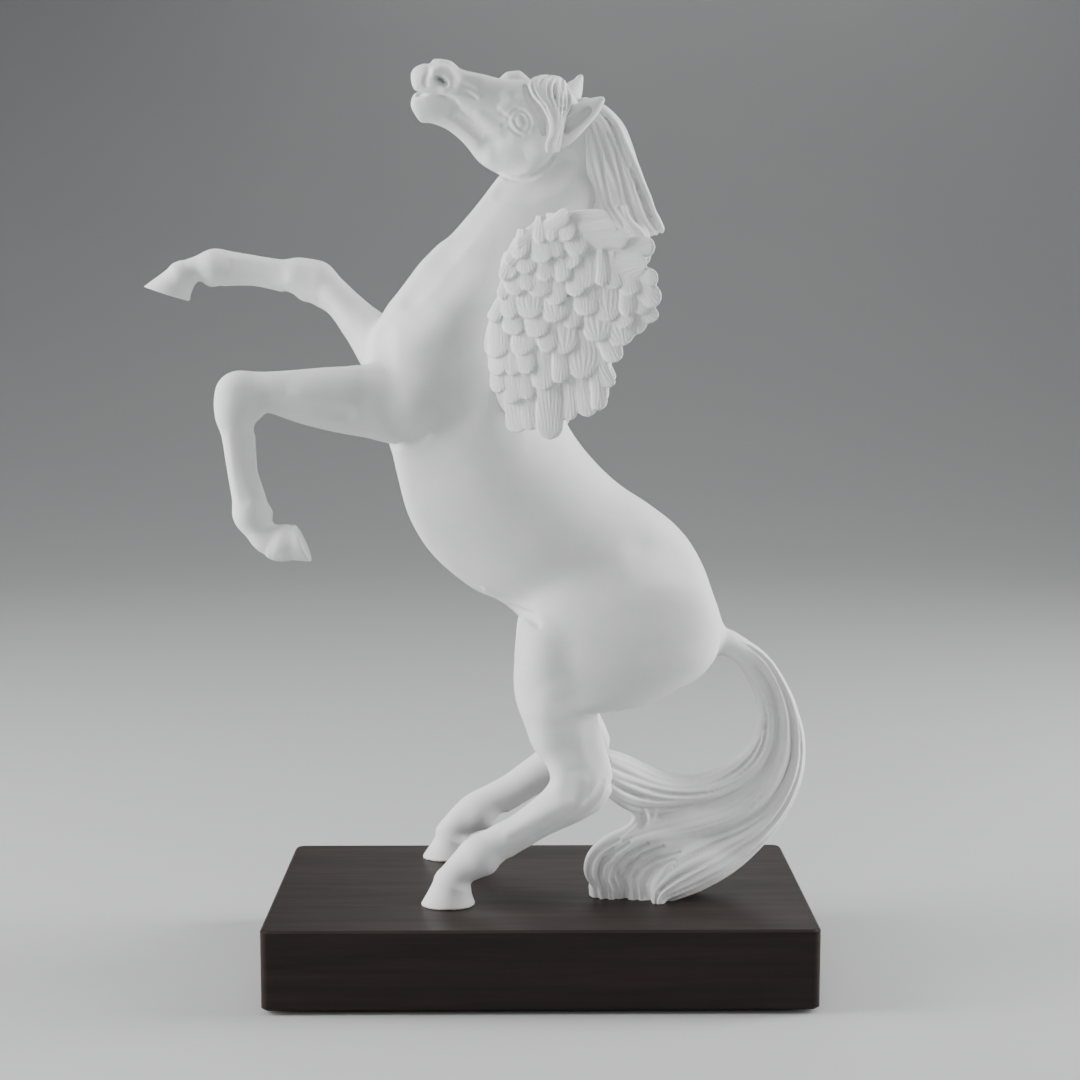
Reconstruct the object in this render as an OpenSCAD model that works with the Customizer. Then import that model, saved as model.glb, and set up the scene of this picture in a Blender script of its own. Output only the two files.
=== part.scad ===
// Rearing winged horse: a matt white cast figure in several castings, pinned together,
// standing on its hind hooves and tail on a dark wooden plinth with felt underneath.
// The horse faces -X and its left side is at -Y. The origin is the centre of the
// felt's underside, on the surface that the statue stands on.

/* [Plinth] */
// Length of the wooden plinth, along the horse
plinth_l = 200; // [196:1:240]
// Width of the wooden plinth, across the horse
plinth_w = 110; // [106:1:150]
// Height of the wooden block
plinth_h = 29.5; // [26:0.5:40]
// Radius of the plinth's upright corners
plinth_corner_r = 3; // [1:0.5:8]
// Width of the eased edge around the plinth's top and bottom
plinth_ease = 0.8; // [0.4:0.1:2]

/* [Felt] */
// Thickness of the felt sheet
felt_t = 1.5; // [1:0.5:3]
// Margin between the felt and the plinth's edge
felt_margin = 5; // [3:1:15]

/* [Fixings] */
// Diameter of the steel leg rods and of the tail stud
rod_d = 4; // [3:0.5:4]
// Diameter of the dowels and pegs between the castings
dowel_d = 4; // [3:0.5:5]
// Clearance all round a rod, dowel or peg in its socket
socket_gap = 0.15; // [0.1:0.05:0.3]
// Outer diameter of the washers
washer_d = 10; // [9:0.5:12]
// Thickness of the washers
washer_t = 1; // [0.8:0.1:1.5]
// Width across the flats of the nuts
nut_af = 7; // [7:0.5:8]
// Thickness of the nuts
nut_t = 3.2; // [2.5:0.1:4]
// Depth of the counterbores under the plinth
recess_depth = 9; // [7:0.5:12]
// Diameter of the counterbores under the plinth
recess_d = 13; // [12.5:0.5:16]

/* [Figure] */
// Half the distance between the two hind hooves
stance = 31; // [29:0.5:32]
// How far the head leans over towards the near side, in degrees
head_lean_angle = 35; // [20:1:38]
// Thickness of the wing at its thickest
wing_t = 9; // [7:0.5:11]

/* [Hidden] */

cast_white = "#E9EAE8";
wood_brown = "#2B1D18";
felt_black = "#1C1C1C";
steel_grey = "#A9ADB0";

// The figure's stations are heights above the table with the plinth's top at this level
sole_z = 31;
plinth_top = felt_t + plinth_h;
// The horse's own middle plane stands a little behind the plinth's middle
mid_y = 6;
near_hoof_y = mid_y + 1 - stance;
far_hoof_y = mid_y + 1 + stance;
seat_at = [[-33, near_hoof_y], [-36, far_hoof_y], [52, -6]];

// Seams between the castings
neck_seam_z = 292;
hip_seam_z = 95;
elbow_seam_x = -66;
// The head leans about a line at this height
lean_z = 314;
far = 400;

// Stations run [front x, front z, back x, back z, half width, centre y]
trunk_stations = [
    [61, 113, 67, 122, 9, 6], [52, 107, 69, 133, 19, 6], [36, 107, 66, 143, 24, 6],
    [18, 113, 61, 156, 26, 6], [0, 127, 53, 168, 27, 6], [-13, 139.5, 42, 177, 28, 6],
    [-26, 146, 30, 185, 29, 6], [-40, 158, 20, 194.5, 29, 6], [-49, 172, 12, 205, 28.5, 6],
    [-53.5, 188, 7, 216, 27.5, 6], [-57, 204, 4.5, 227, 26.5, 6], [-62, 221, 5, 238, 25, 6],
    [-62, 238, 7.5, 250, 22, 6], [-54, 251, 11, 262, 18.5, 6], [-43.5, 267, 15, 273, 15.5, 6],
    [-33, 278, 19, 283, 13, 6], [-23.5, 289, 22, 292, 10.8, 6.6], [-15, 300, 23.5, 302, 9, 8],
    [-6, 309, 22.5, 312, 8.2, 6.5], [3, 317, 18, 320, 6.8, 3.5]];

// Near side thigh and shoulder, both inside the body casting at their upper ends
thigh_stations = [
    [18, 160, 44, 158, 9, -8], [2, 146, 60, 150, 14, -10], [-7, 134, 66, 138, 16, -11],
    [-9, 122, 65.5, 124, 16.5, -12], [-9.5, 113, 57.5, 114.5, 15.5, -13],
    [-8.5, 106.5, 39, 105, 14, -15], [-6.8, 102.8, 20.8, 103, 12.2, -17.2],
    [-3.4, 95.5, 21.4, 96, 10.3, -19.2], [-1, 89, 22.8, 89.5, 9.2, -20.7],
    [2.2, 83.5, 24.8, 83.5, 8.3, -22], [3.9, 79, 25.8, 78.5, 7.9, -23],
    [3, 76, 25, 72, 7.4, -23.5], [-3, 70, 13, 62.5, 6.6, -24],
    [-10.5, 64.3, -2, 55, 5.6, -24], [-18.5, 60, -10.5, 49.8, 5.3, -24],
    [-26, 55.8, -18, 44, 5.8, -24], [-31, 51.3, -23, 40.9, 5.6, -24],
    [-36, 46, -26.5, 39, 5.6, -24], [-40.5, 40.5, -26.5, 36.5, 7.2, -24],
    [-44.5, 31, -24, 31, 8, -24]];

shoulder_stations = [
    [-24, 238, -22, 222, 10, -5], [-40, 235, -38, 205, 13, -9], [-55, 231, -52, 201.5, 12, -12],
    [-66, 230, -62, 203.5, 10.5, -15], [-78, 229.5, -75, 206, 9.3, -18],
    [-90, 228.5, -88, 209.5, 7.8, -20.5], [-100, 228, -97.5, 213, 6.7, -22],
    [-109, 228, -101, 213, 6.6, -23], [-115, 223.5, -102.5, 210.5, 6.6, -23],
    [-117, 216, -103.8, 205.5, 6, -23], [-115, 205, -104, 200, 5, -23],
    [-113.2, 192, -103.5, 192, 4.6, -23], [-111.5, 181, -100.5, 184, 5, -23],
    [-110, 173.5, -98.7, 177.5, 5.7, -23], [-106.5, 168, -96.5, 172.5, 5.1, -23],
    [-102.5, 163, -93.5, 173.2, 6.4, -23], [-94, 159.8, -90.5, 172.5, 7, -23],
    [-85, 160, -89, 169.5, 7.2, -23]];

// Far side foreleg, raised and reaching forward
far_foreleg_stations = [
    [-30, 242, -30, 222, 10, 15], [-44, 244, -46, 212, 13, 21], [-57, 247, -60, 218, 12, 24.5],
    [-67, 254, -68, 228.5, 10.5, 27], [-75, 261.5, -74, 239, 9, 28.5],
    [-82, 267.3, -80.5, 248.5, 7.8, 29.5], [-89, 268.9, -87, 252.5, 7, 30],
    [-96, 269.5, -94, 256.5, 6.4, 30], [-106, 271, -104, 260, 5, 30],
    [-116, 272.7, -115, 261, 4.8, 30], [-125, 273.7, -124.5, 260.3, 5.7, 30],
    [-131.5, 271.7, -131, 261, 5.1, 30], [-137.5, 269.6, -135, 258, 6.3, 30],
    [-145, 265.8, -136, 254.6, 7, 30], [-152, 259.5, -140, 254.6, 7.2, 30]];

// The head before it leans over: skull with upper jaw, then lower jaw
skull_stations = [
    [-45.7, 334, -46.7, 339.2, 3, 6], [-44, 332.9, -44.8, 341.5, 5, 6],
    [-39.3, 332.4, -39.9, 343, 6.2, 6], [-33.4, 331.7, -34, 343.2, 6.3, 6],
    [-28.7, 325.8, -28.1, 340.6, 5.6, 6], [-23.9, 318.5, -21.2, 339, 6.2, 6],
    [-19, 309.5, -14.4, 337, 7.6, 6], [-14.6, 301, -8, 336.4, 9.4, 6],
    [-8, 296.3, -1.6, 336.3, 10, 6], [-1, 299.2, 4.9, 335.2, 9.6, 6],
    [5, 308, 10.8, 331.8, 8, 6], [10, 317, 15, 327.3, 5.5, 6]];

jaw_stations = [
    [-46.3, 325.4, -47.2, 328, 2.6, 6], [-43.6, 320.5, -44.8, 331, 4.4, 6],
    [-39.7, 320, -40, 332.6, 5, 6], [-33.8, 317.2, -34.2, 332.6, 4.9, 6],
    [-27.9, 311.6, -26.9, 328, 5.5, 6], [-22, 303.5, -18, 322, 6.8, 6],
    [-14, 298.3, -12, 317, 7.5, 6]];

tail_stations = [
    [64, 132, 62, 121, 5.5, 6], [74, 128.5, 71, 119.8, 5, 6], [85, 121.5, 77.5, 114.5, 5.5, 6],
    [93, 111.5, 81.5, 107, 6.5, 6], [98.5, 100.5, 83, 98, 7.5, 6], [101.2, 88, 81.5, 89.5, 8.5, 5],
    [100.2, 76, 77, 82, 9.8, 3], [96, 63, 70, 77, 11.3, 0], [88, 49.5, 61.5, 73.3, 12.8, -2.5],
    [77, 38, 52, 73, 14, -4.5], [66, 32, 46, 66, 15, -6], [54, 31.8, 40, 57, 14.5, -7]];

tress_stations = [
    [66, 74.5, 66, 52, 7, 0], [52, 73, 52, 54, 7.5, -3], [41, 76.8, 41, 57.5, 7, -8],
    [33, 80.4, 32, 62, 5.8, -14], [26, 83, 24, 65, 4.2, -19]];

mane_stations = [
    [13, 328, 18, 326.5, 3.5, 1], [17, 320, 28.5, 318, 6.5, 2.5], [20, 308, 35, 308, 8, 4],
    [20, 298, 38.8, 298, 8.5, 5], [20, 289, 42, 289, 8.5, 6], [24, 281, 45, 281, 7, 6],
    [32, 274, 42, 276, 3, 6]];

wing_stations = [
    [-19.5, 241, -19.5, 235, 0.3, -20], [-16, 250, -17, 222, 0.6, -22],
    [-11.5, 268, -13, 212, 0.9, -24], [-5, 277, -6, 208, 1, -26],
    [4, 282.5, 3, 205, 1, -27.5], [14, 284, 12, 210, 1, -28.5], [24, 280.5, 20, 216, 0.9, -29.5],
    [33, 274, 27, 232, 0.8, -30], [39, 266, 37, 244, 0.6, -30.5], [41, 260, 41, 254, 0.3, -31]];

// Feathers run [root x, root z, tip x, tip z, root radius, tip radius]
long_feathers = [
    [-10, 230, -8.5, 210, 3.5, 3], [-4, 232, -3, 208, 4, 3], [3, 234, 4, 207, 4, 3.2],
    [9, 236, 10.5, 212, 4, 3.2], [14, 238, 16.5, 217, 4, 3.4], [18, 242, 22, 225, 4, 4],
    [20, 248, 30, 240, 4, 4.5], [22, 256, 36, 248, 4, 4.5], [22, 263, 38.5, 257, 4, 4],
    [18, 270, 36.5, 266, 4, 4], [10, 277, 31, 274.5, 4, 3.5], [6, 280, 25, 279, 3, 2.5]];
covert_rows = [[268, -3, 4], [259, -5, 5], [250, -6, 5], [241, -11, 4], [232, -12, 3]];
covert_pitch = 8;

// Centre lines of the leg rods, from the counterbore up into the thigh
near_rod_path = [[-33, 38], [-28.5, 47.5], [-19, 53.5], [-8, 60.5], [3, 67.5], [11, 75],
    [12.5, 84], [9.5, 95], [9, 108], [12, 122]];

function lerp(a, b, t) = a + (b - a) * t;
function unit(v) = v / norm(v);
function curve(a, b, c, d, t) =
    0.5 * (2 * b + (c - a) * t + (2 * a - 5 * b + 4 * c - d) * t * t
    + (3 * b - a - 3 * c + d) * t * t * t);
// A smooth run through the stations, with steps rings between each pair
function smooth(s, steps) = let (m = len(s) - 1)
    [for (i = [0:m - 1]) for (k = [0:steps - 1])
        curve(s[max(i - 1, 0)], s[i], s[i + 1], s[min(i + 2, m)], k / steps), s[m]];
function oval(s, sides) =
    [for (i = [0:sides - 1]) let (a = 360 * i / sides)
        [(s[0] + s[2] + (s[0] - s[2]) * cos(a)) / 2, s[5] + s[4] * sin(a),
         (s[1] + s[3] + (s[1] - s[3]) * cos(a)) / 2]];
function oval_turn(s) =
    cross([s[0][0] - s[0][2], 0, s[0][1] - s[0][3]], [0, 1, 0])
    * [s[1][0] + s[1][2] - s[0][0] - s[0][2], 0, s[1][1] + s[1][3] - s[0][1] - s[0][3]];
function skin_faces(n, sides) = concat(
    [[for (j = [0:sides - 1]) j]],
    [for (i = [0:n - 2]) for (j = [0:sides - 1]) let (k = (j + 1) % sides)
        each [[(i + 1) * sides + j, (i + 1) * sides + k, i * sides + k],
              [(i + 1) * sides + j, i * sides + k, i * sides + j]]],
    [[for (j = [sides - 1:-1:0]) (n - 1) * sides + j]]);
function flipped(faces) = [for (f = faces) [for (i = [len(f) - 1:-1:0]) f[i]]];
// Points run [x, y, z, radius in the XZ plane, radius towards Y]
function sweep_ring(p, i, sides) = let (
        q = [for (v = p) [v[0], v[1], v[2]]],
        t = unit(q[min(i + 1, len(p) - 1)] - q[max(i - 1, 0)]),
        s = unit(cross(t, [0, 1, 0])),
        o = cross(t, s))
    [for (j = [0:sides - 1]) let (a = 360 * j / sides)
        q[i] + s * p[i][3] * cos(a) + o * p[i][4] * sin(a)];
function round_rect(l, w, r) =
    [for (c = [[1, 1, 0], [-1, 1, 90], [-1, -1, 180], [1, -1, 270]]) for (a = [0:15:90])
        [c[0] * (l / 2 - r) + r * cos(c[2] + a), c[1] * (w / 2 - r) + r * sin(c[2] + a)]];
function mirrored(s) = [for (v = s) [v[0], v[1], v[2], v[3], v[4], 2 * mid_y - v[5]]];
// The far hind leg has its hock further back and its hoof further forward
function far_leg(s) = [for (v = mirrored(s)) let (
        hock = 2.8 * exp(-pow((v[3] - 80) / 8, 2)),
        front = 3.5 * min(max((84 - v[1]) / 14, 0), 1),
        back = v[3] < 70 ? 3.5 * min(max((84 - v[3]) / 14, 0), 1) : -hock)
    [v[0] - front, v[1], v[2] - back, v[3], v[4], v[5] + (v[3] < hip_seam_z ? 2 : 0)]];

module loft(stations, sides, steps) {
    s = smooth(stations, steps);
    faces = skin_faces(len(s), sides);
    polyhedron([for (v = s) each oval(v, sides)], oval_turn(stations) > 0 ? faces : flipped(faces));
}

module sweep(path, sides, steps) {
    p = smooth(path, steps);
    polyhedron([for (i = [0:len(p) - 1]) each sweep_ring(p, i, sides)], skin_faces(len(p), sides));
}

// A ridge or muscle: spheres of radius p[3] joined one after another
module chain(points, flat = 1) {
    for (i = [0:len(points) - 2])
        hull()
            for (p = [points[i], points[i + 1]])
                translate([p[0], p[1], p[2]])
                    scale([1, flat, 1])
                        sphere(p[3], $fn = 8);
}

module seated() {
    translate([0, 0, plinth_top - sole_z])
        children();
}

module mirror_to_far() {
    translate([0, 2 * mid_y, 0])
        mirror([0, 1, 0])
            children();
}

module above(z) {
    translate([-far, -far, z])
        cube(2 * far);
}

module below(z) {
    translate([-far, -far, z - 2 * far])
        cube(2 * far);
}

module before(x) {
    translate([x - 2 * far, -far, -far])
        cube(2 * far);
}

module behind(x) {
    translate([x, -far, -far])
        cube(2 * far);
}

module rod(gap, foot_z, side) {
    d = rod_d + 2 * gap;
    hoof_y = side < 0 ? near_hoof_y : far_hoof_y;
    shift = side < 0 ? 0 : -3;
    lower = [for (z = [foot_z, foot_z + 12, sole_z]) [-33 + shift, hoof_y, z, d / 2, d / 2]];
    upper = [for (p = near_rod_path) let (
            fade = max(0, 60 - p[1]) / 29,
            in = max(0, p[1] - 66) * 0.19)
        [p[0] + shift * fade, hoof_y - side * in, p[1], d / 2, d / 2]];
    sweep(concat(lower, upper), 8, 2);
}

module dowel_at(place, turn, length, gap) {
    translate(place)
        rotate(turn)
            cylinder(h = length + 2 * gap, d = dowel_d + 2 * gap, center = true, $fn = 24);
}

module wing_peg(gap) {
    dowel_at([-6, -15.5, 244], [90, 0, 0], 18, gap);
}

module foreleg_dowel(gap, side) {
    dowel_at(side < 0 ? [elbow_seam_x, -15.5, 217] : [elbow_seam_x, 26.5, 243], [0, 90, 0], 16, gap);
}

module neck_pin(gap) {
    dowel_at([0, mid_y, neck_seam_z], [0, 15, 0], 24, gap);
}

module tail_pin(gap) {
    dowel_at([69, mid_y, 126], [0, 108, 0], 16, gap);
}

module trunk() {
    loft(trunk_stations, 22, 2);
}

module hindquarters() {
    loft(thigh_stations, 16, 2);
    loft(far_leg(thigh_stations), 16, 2);
}

module forequarters() {
    loft(shoulder_stations, 16, 2);
    loft(far_foreleg_stations, 16, 2);
}

// Shoulder blade, point of the shoulder and the groove behind them, on the near side
module shoulder_muscles() {
    chain([[-22, -4, 258, 7], [-34, -7, 245, 10], [-44, -8, 232, 11.5], [-44, -9, 216, 11]]);
    chain([[-36, 1, 258, 8], [-45, 0, 244, 11], [-50, -1, 231, 13]]);
}

module body_solid() {
    intersection() {
        trunk();
        below(neck_seam_z);
    }
    intersection() {
        hindquarters();
        above(hip_seam_z);
    }
    intersection() {
        forequarters();
        behind(elbow_seam_x);
    }
    shoulder_muscles();
    mirror_to_far()
        shoulder_muscles();
}

module body_casting() {
    color(cast_white)
        seated()
            difference() {
                body_solid();
                rod(socket_gap, sole_z, -1);
                rod(socket_gap, sole_z, 1);
                wing_peg(socket_gap);
                mirror_to_far()
                    wing_peg(socket_gap);
                foreleg_dowel(socket_gap, -1);
                foreleg_dowel(socket_gap, 1);
                neck_pin(socket_gap);
                tail_pin(socket_gap);
            }
}

// The head leans over along its length, its brow turned towards the near side
module head_lean() {
    translate([0, mid_y, lean_z])
        rotate([head_lean_angle, 0, 0])
            translate([0, -mid_y, -lean_z])
                children();
}

module half_face() {
    chain([[-29.5, 1.8, 334, 2.4], [-34.5, 1.4, 338, 3.6], [-38, 2, 337.6, 3.2]]);
    chain([[-11, -0.8, 327, 3.6], [-7, -1.6, 326.5, 4.4], [-2, -1, 325, 3.6]]);
    chain([[-12, -2, 330, 1.8], [-5, -3, 331.2, 2.2]]);
    chain([[-14, -0.6, 307, 6.5], [-6, -1.4, 307, 8.3], [-1, -1, 311, 7]]);
}

module head_solid() {
    head_lean()
        difference() {
            union() {
                loft(skull_stations, 16, 2);
                loft(jaw_stations, 12, 2);
                half_face();
                mirror_to_far()
                    half_face();
            }
            for (side = [-1, 1])
                translate([-35.4, mid_y + side * 7.4, 337.4])
                    sphere(2, $fn = 10);
        }
}

module ear() {
    difference() {
        hull() {
            sphere(4.8, $fn = 12);
            translate([4, -1.2, 2])
                sphere(4.4, $fn = 12);
            translate([12.5, -2.6, 5.6])
                sphere(1.2, $fn = 8);
        }
        hull() {
            translate([2, -5, 2])
                sphere(2.2, $fn = 8);
            translate([9, -4.6, 4.6])
                sphere(1.1, $fn = 8);
        }
    }
}

module near_ear() {
    translate([10.5, -5, 317.5])
        rotate([0, -9, 0])
            ear();
}

module far_ear() {
    translate([9, 5, 327.5])
        mirror([0, 1, 0])
            rotate([0, -36, 0])
                ear();
}

module head_casting() {
    color(cast_white)
        seated()
            difference() {
                union() {
                    intersection() {
                        trunk();
                        above(neck_seam_z);
                    }
                    head_solid();
                }
                neck_pin(socket_gap);
            }
}

module left_ear() {
    color(cast_white)
        seated()
            difference() {
                near_ear();
                head_solid();
                trunk();
            }
}

module right_ear() {
    color(cast_white)
        seated()
            difference() {
                far_ear();
                head_solid();
                trunk();
            }
}

module forelock_solid() {
    sweep([[11, 1, 329, 2, 3], [6, -3.6, 333, 2.2, 4], [1, -7.4, 331, 2.8, 3.6],
        [1.5, -9.4, 325, 3.4, 2.8], [4.5, -9.6, 318, 3.6, 2.4], [5, -8, 311.5, 3.2, 2],
        [3.5, -6.4, 307, 1, 1]], 12, 2);
}

module forelock() {
    color(cast_white)
        seated()
            difference() {
                forelock_solid();
                head_solid();
                trunk();
                near_ear();
                far_ear();
            }
}

// Locks that stand proud of the mane's mass
module mane_locks() {
    for (k = [0:3])
        chain([[20 + 2.5 * k, -2.5 + k, 318 - 3 * k, 1.8], [25 + 2.5 * k, -4 + k, 304 - 2 * k, 2.2],
            [29 + 3 * k, -3 + k, 291 - k, 2]]);
}

module mane() {
    color(cast_white)
        seated()
            difference() {
                union() {
                    loft(mane_stations, 16, 2);
                    mane_locks();
                }
                trunk();
                head_solid();
                near_ear();
                far_ear();
                forelock_solid();
            }
}

// How far out the wing lies at x, from its leading edge to its trailing edge
function wing_face_y(x) = lerp(-20, -31, pow(max(0, x + 19.5) / 60.5, 0.6));

module feather(f, rise) {
    thick = 2.4;
    lift = wing_t * 0.36 + rise;
    hull()
        for (p = [[f[0], f[1], f[4]], [f[2], f[3], f[5]]])
            translate([p[0], wing_face_y(p[0]) - lift, p[1]])
                rotate([90, 0, 0])
                    cylinder(h = thick, r1 = p[2], r2 = p[2] - 0.8, center = true, $fn = 10);
}

// The thick leading edge that lies against the shoulder blade
module wing_root() {
    chain([[-13, -18, 226, 5.5], [-14, -18, 240, 6.5], [-10, -17, 254, 7], [-5, -17, 266, 6.5],
        [4, -20, 272, 6]]);
    chain([[-6, -18, 232, 7.5], [-2, -19, 246, 8.5], [2, -20, 258, 8]]);
}

module wing_solid() {
    loft([for (s = wing_stations) [s[0], s[1], s[2], s[3], s[4] * wing_t / 2, s[5]]], 14, 2);
    for (f = long_feathers)
        feather(f, 0);
    for (row = covert_rows)
        for (k = [0:row[2] - 1])
            let (x = row[1] + covert_pitch * k)
                feather([x, row[0] + 3, x + 0.5, row[0] - 2, 3.6, 4.2], 1.2);
    wing_root();
}

module left_wing() {
    color(cast_white)
        seated()
            difference() {
                wing_solid();
                body_solid();
                wing_peg(socket_gap);
            }
}

module right_wing() {
    color(cast_white)
        seated()
            difference() {
                mirror_to_far()
                    translate([4, 0, 0])
                        wing_solid();
                body_solid();
                mirror_to_far()
                    wing_peg(socket_gap);
            }
}

module left_foreleg() {
    color(cast_white)
        seated()
            difference() {
                union() {
                    intersection() {
                        loft(shoulder_stations, 16, 2);
                        before(elbow_seam_x);
                    }
                    chain([[-74, -22, 222, 5], [-84, -23.5, 220, 4.6], [-95, -24, 220, 3.4],
                        [-108, -24, 219.5, 5.6], [-110, -23, 210, 5.4]]);
                    chain([[-105, -23, 200, 2.6], [-104, -23, 190, 2.4], [-102, -23, 180, 2.8],
                        [-99.5, -23, 175.5, 3]]);
                }
                foreleg_dowel(socket_gap, -1);
            }
}

module right_foreleg() {
    color(cast_white)
        seated()
            difference() {
                union() {
                    intersection() {
                        loft(far_foreleg_stations, 16, 2);
                        before(elbow_seam_x);
                    }
                    chain([[-73, 32, 247, 4.8], [-80, 32.5, 254, 4.4], [-88, 31, 260.5, 5.8],
                        [-94, 30.5, 262.5, 5.4]]);
                    chain([[-96, 30, 260.5, 2.8], [-108, 30, 263.5, 2.4], [-119, 30, 263.5, 2.6],
                        [-126, 30, 263, 3], [-129, 30, 263, 2.6], [-131, 30, 263.5, 2.2]]);
                }
                foreleg_dowel(socket_gap, 1);
            }
}

// Tendon down the back of the cannon, hock and fetlock
module hind_tendons() {
    chain([[21.6, -21, 86, 3.2], [22.4, -22, 78, 3.6], [20, -23.5, 70.5, 3.6], [9, -24, 64.6, 3.2],
        [-4, -24, 58, 3], [-14, -24, 51.5, 3], [-21.5, -24, 45, 3.2]]);
    chain([[9.5, -22.5, 84, 6], [11, -23.6, 78, 6.6], [10.5, -24, 72, 5.8]]);
}

module hind_leg_solid() {
    intersection() {
        union() {
            loft(thigh_stations, 16, 2);
            hind_tendons();
        }
        below(hip_seam_z);
    }
}

module far_hind_leg_solid() {
    intersection() {
        union() {
            loft(far_leg(thigh_stations), 16, 2);
            translate([0, 2, 0])
                mirror_to_far()
                    hind_tendons();
        }
        below(hip_seam_z);
    }
}

module left_hind_leg() {
    color(cast_white)
        seated()
            difference() {
                hind_leg_solid();
                rod(socket_gap, sole_z - 20, -1);
            }
}

module right_hind_leg() {
    color(cast_white)
        seated()
            difference() {
                far_hind_leg_solid();
                rod(socket_gap, sole_z - 20, 1);
            }
}

// Tufts that curl forward and down onto the plinth
module tail_tufts() {
    sweep([[58, -6, 46, 10, 10], [46, -8, 47, 9, 11], [36, -10, 46.5, 7, 11], [25, -11, 43.5, 7.5, 9],
        [21, -12, 37, 5.5, 7], [23.5, -13, 31.4, 5, 6]], 12, 2);
    sweep([[56, -12, 44, 7, 5], [46, -16, 43, 7, 5], [38, -17, 38, 6, 5],
        [35, -17.5, 31.4, 5, 4.5]], 10, 2);
    sweep([[66, -8, 44, 8, 7], [56, -14, 38, 5.5, 6], [46, -16, 34.5, 2.8, 5]], 10, 2);
}

module tail_locks() {
    chain([[80, 4, 121, 2], [90, 3.5, 109, 2.4], [95, 1, 96, 2.6], [96, -3, 82, 2.6],
        [91, -8, 68, 2.8], [80, -13, 55, 3], [68, -17, 48, 3]]);
    chain([[86, 2, 96, 2.2], [87, -2, 84, 2.2], [80, -8, 73, 2.6], [68, -11, 66, 2.8],
        [52, -12, 62, 2.6]]);
}

module tail() {
    color(cast_white)
        seated()
            difference() {
                intersection() {
                    union() {
                        loft(tail_stations, 16, 2);
                        loft(tress_stations, 12, 2);
                        tail_tufts();
                        tail_locks();
                    }
                    above(sole_z);
                }
                body_solid();
                hind_leg_solid();
                tail_pin(socket_gap);
                translate([seat_at[2][0], seat_at[2][1], sole_z - 10])
                    cylinder(h = 24 + socket_gap, d = rod_d + 2 * socket_gap, $fn = 24);
            }
}

module plinth() {
    top = plinth_top;
    color(wood_brown)
        difference() {
            hull()
                for (layer = [[felt_t, plinth_ease], [felt_t + plinth_ease, 0],
                        [top - plinth_ease, 0], [top, plinth_ease]])
                    translate([0, 0, layer[0] - (layer[0] < top ? 0 : 0.01)])
                        linear_extrude(0.01)
                            polygon(round_rect(plinth_l - 2 * layer[1], plinth_w - 2 * layer[1],
                                plinth_corner_r));
            for (seat = seat_at) {
                translate([seat[0], seat[1], felt_t - 1])
                    cylinder(h = recess_depth + 1, d = recess_d, $fn = 48);
                translate([seat[0], seat[1], felt_t])
                    cylinder(h = plinth_h + 1, d = rod_d + 2 * socket_gap, $fn = 32);
            }
        }
}

module felt_sheet() {
    color(felt_black)
        linear_extrude(felt_t)
            polygon(round_rect(plinth_l - 2 * felt_margin, plinth_w - 2 * felt_margin,
                plinth_corner_r));
}

rod_foot_z = felt_t + recess_depth - washer_t - nut_t - 2;

module leg_rod(side) {
    color(steel_grey)
        seated()
            rod(0, rod_foot_z - plinth_top + sole_z, side);
}

module left_leg_rod() {
    leg_rod(-1);
}

module right_leg_rod() {
    leg_rod(1);
}

module tail_stud() {
    color(steel_grey)
        translate([seat_at[2][0], seat_at[2][1], rod_foot_z])
            cylinder(h = plinth_top + 14 - rod_foot_z, d = rod_d, $fn = 32);
}

module washers() {
    color(steel_grey)
        for (seat = seat_at)
            translate([seat[0], seat[1], felt_t + recess_depth - washer_t])
                difference() {
                    cylinder(h = washer_t, d = washer_d, $fn = 48);
                    translate([0, 0, -1])
                        cylinder(h = washer_t + 2, d = rod_d + 0.4, $fn = 32);
                }
}

module hex_nuts() {
    color(steel_grey)
        for (seat = seat_at)
            translate([seat[0], seat[1], felt_t + recess_depth - washer_t - nut_t])
                difference() {
                    cylinder(h = nut_t, d = nut_af / cos(30), $fn = 6);
                    translate([0, 0, -1])
                        cylinder(h = nut_t + 2, d = rod_d + 0.1, $fn = 32);
                }
}

module wing_pegs() {
    color(steel_grey)
        seated() {
            wing_peg(0);
            mirror_to_far()
                wing_peg(0);
        }
}

module foreleg_dowels() {
    color(steel_grey)
        seated() {
            foreleg_dowel(0, -1);
            foreleg_dowel(0, 1);
        }
}

module neck_dowel() {
    color(steel_grey)
        seated()
            neck_pin(0);
}

module tail_dowel() {
    color(steel_grey)
        seated()
            tail_pin(0);
}

plinth();
felt_sheet();
body_casting();
head_casting();
left_ear();
right_ear();
forelock();
mane();
left_wing();
right_wing();
left_foreleg();
right_foreleg();
left_hind_leg();
right_hind_leg();
tail();
left_leg_rod();
right_leg_rod();
tail_stud();
washers();
hex_nuts();
wing_pegs();
foreleg_dowels();
neck_dowel();
tail_dowel();
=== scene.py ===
"""Rearing winged horse: a matt white cast statuette on a dark stained wooden plinth."""

import math

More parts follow.
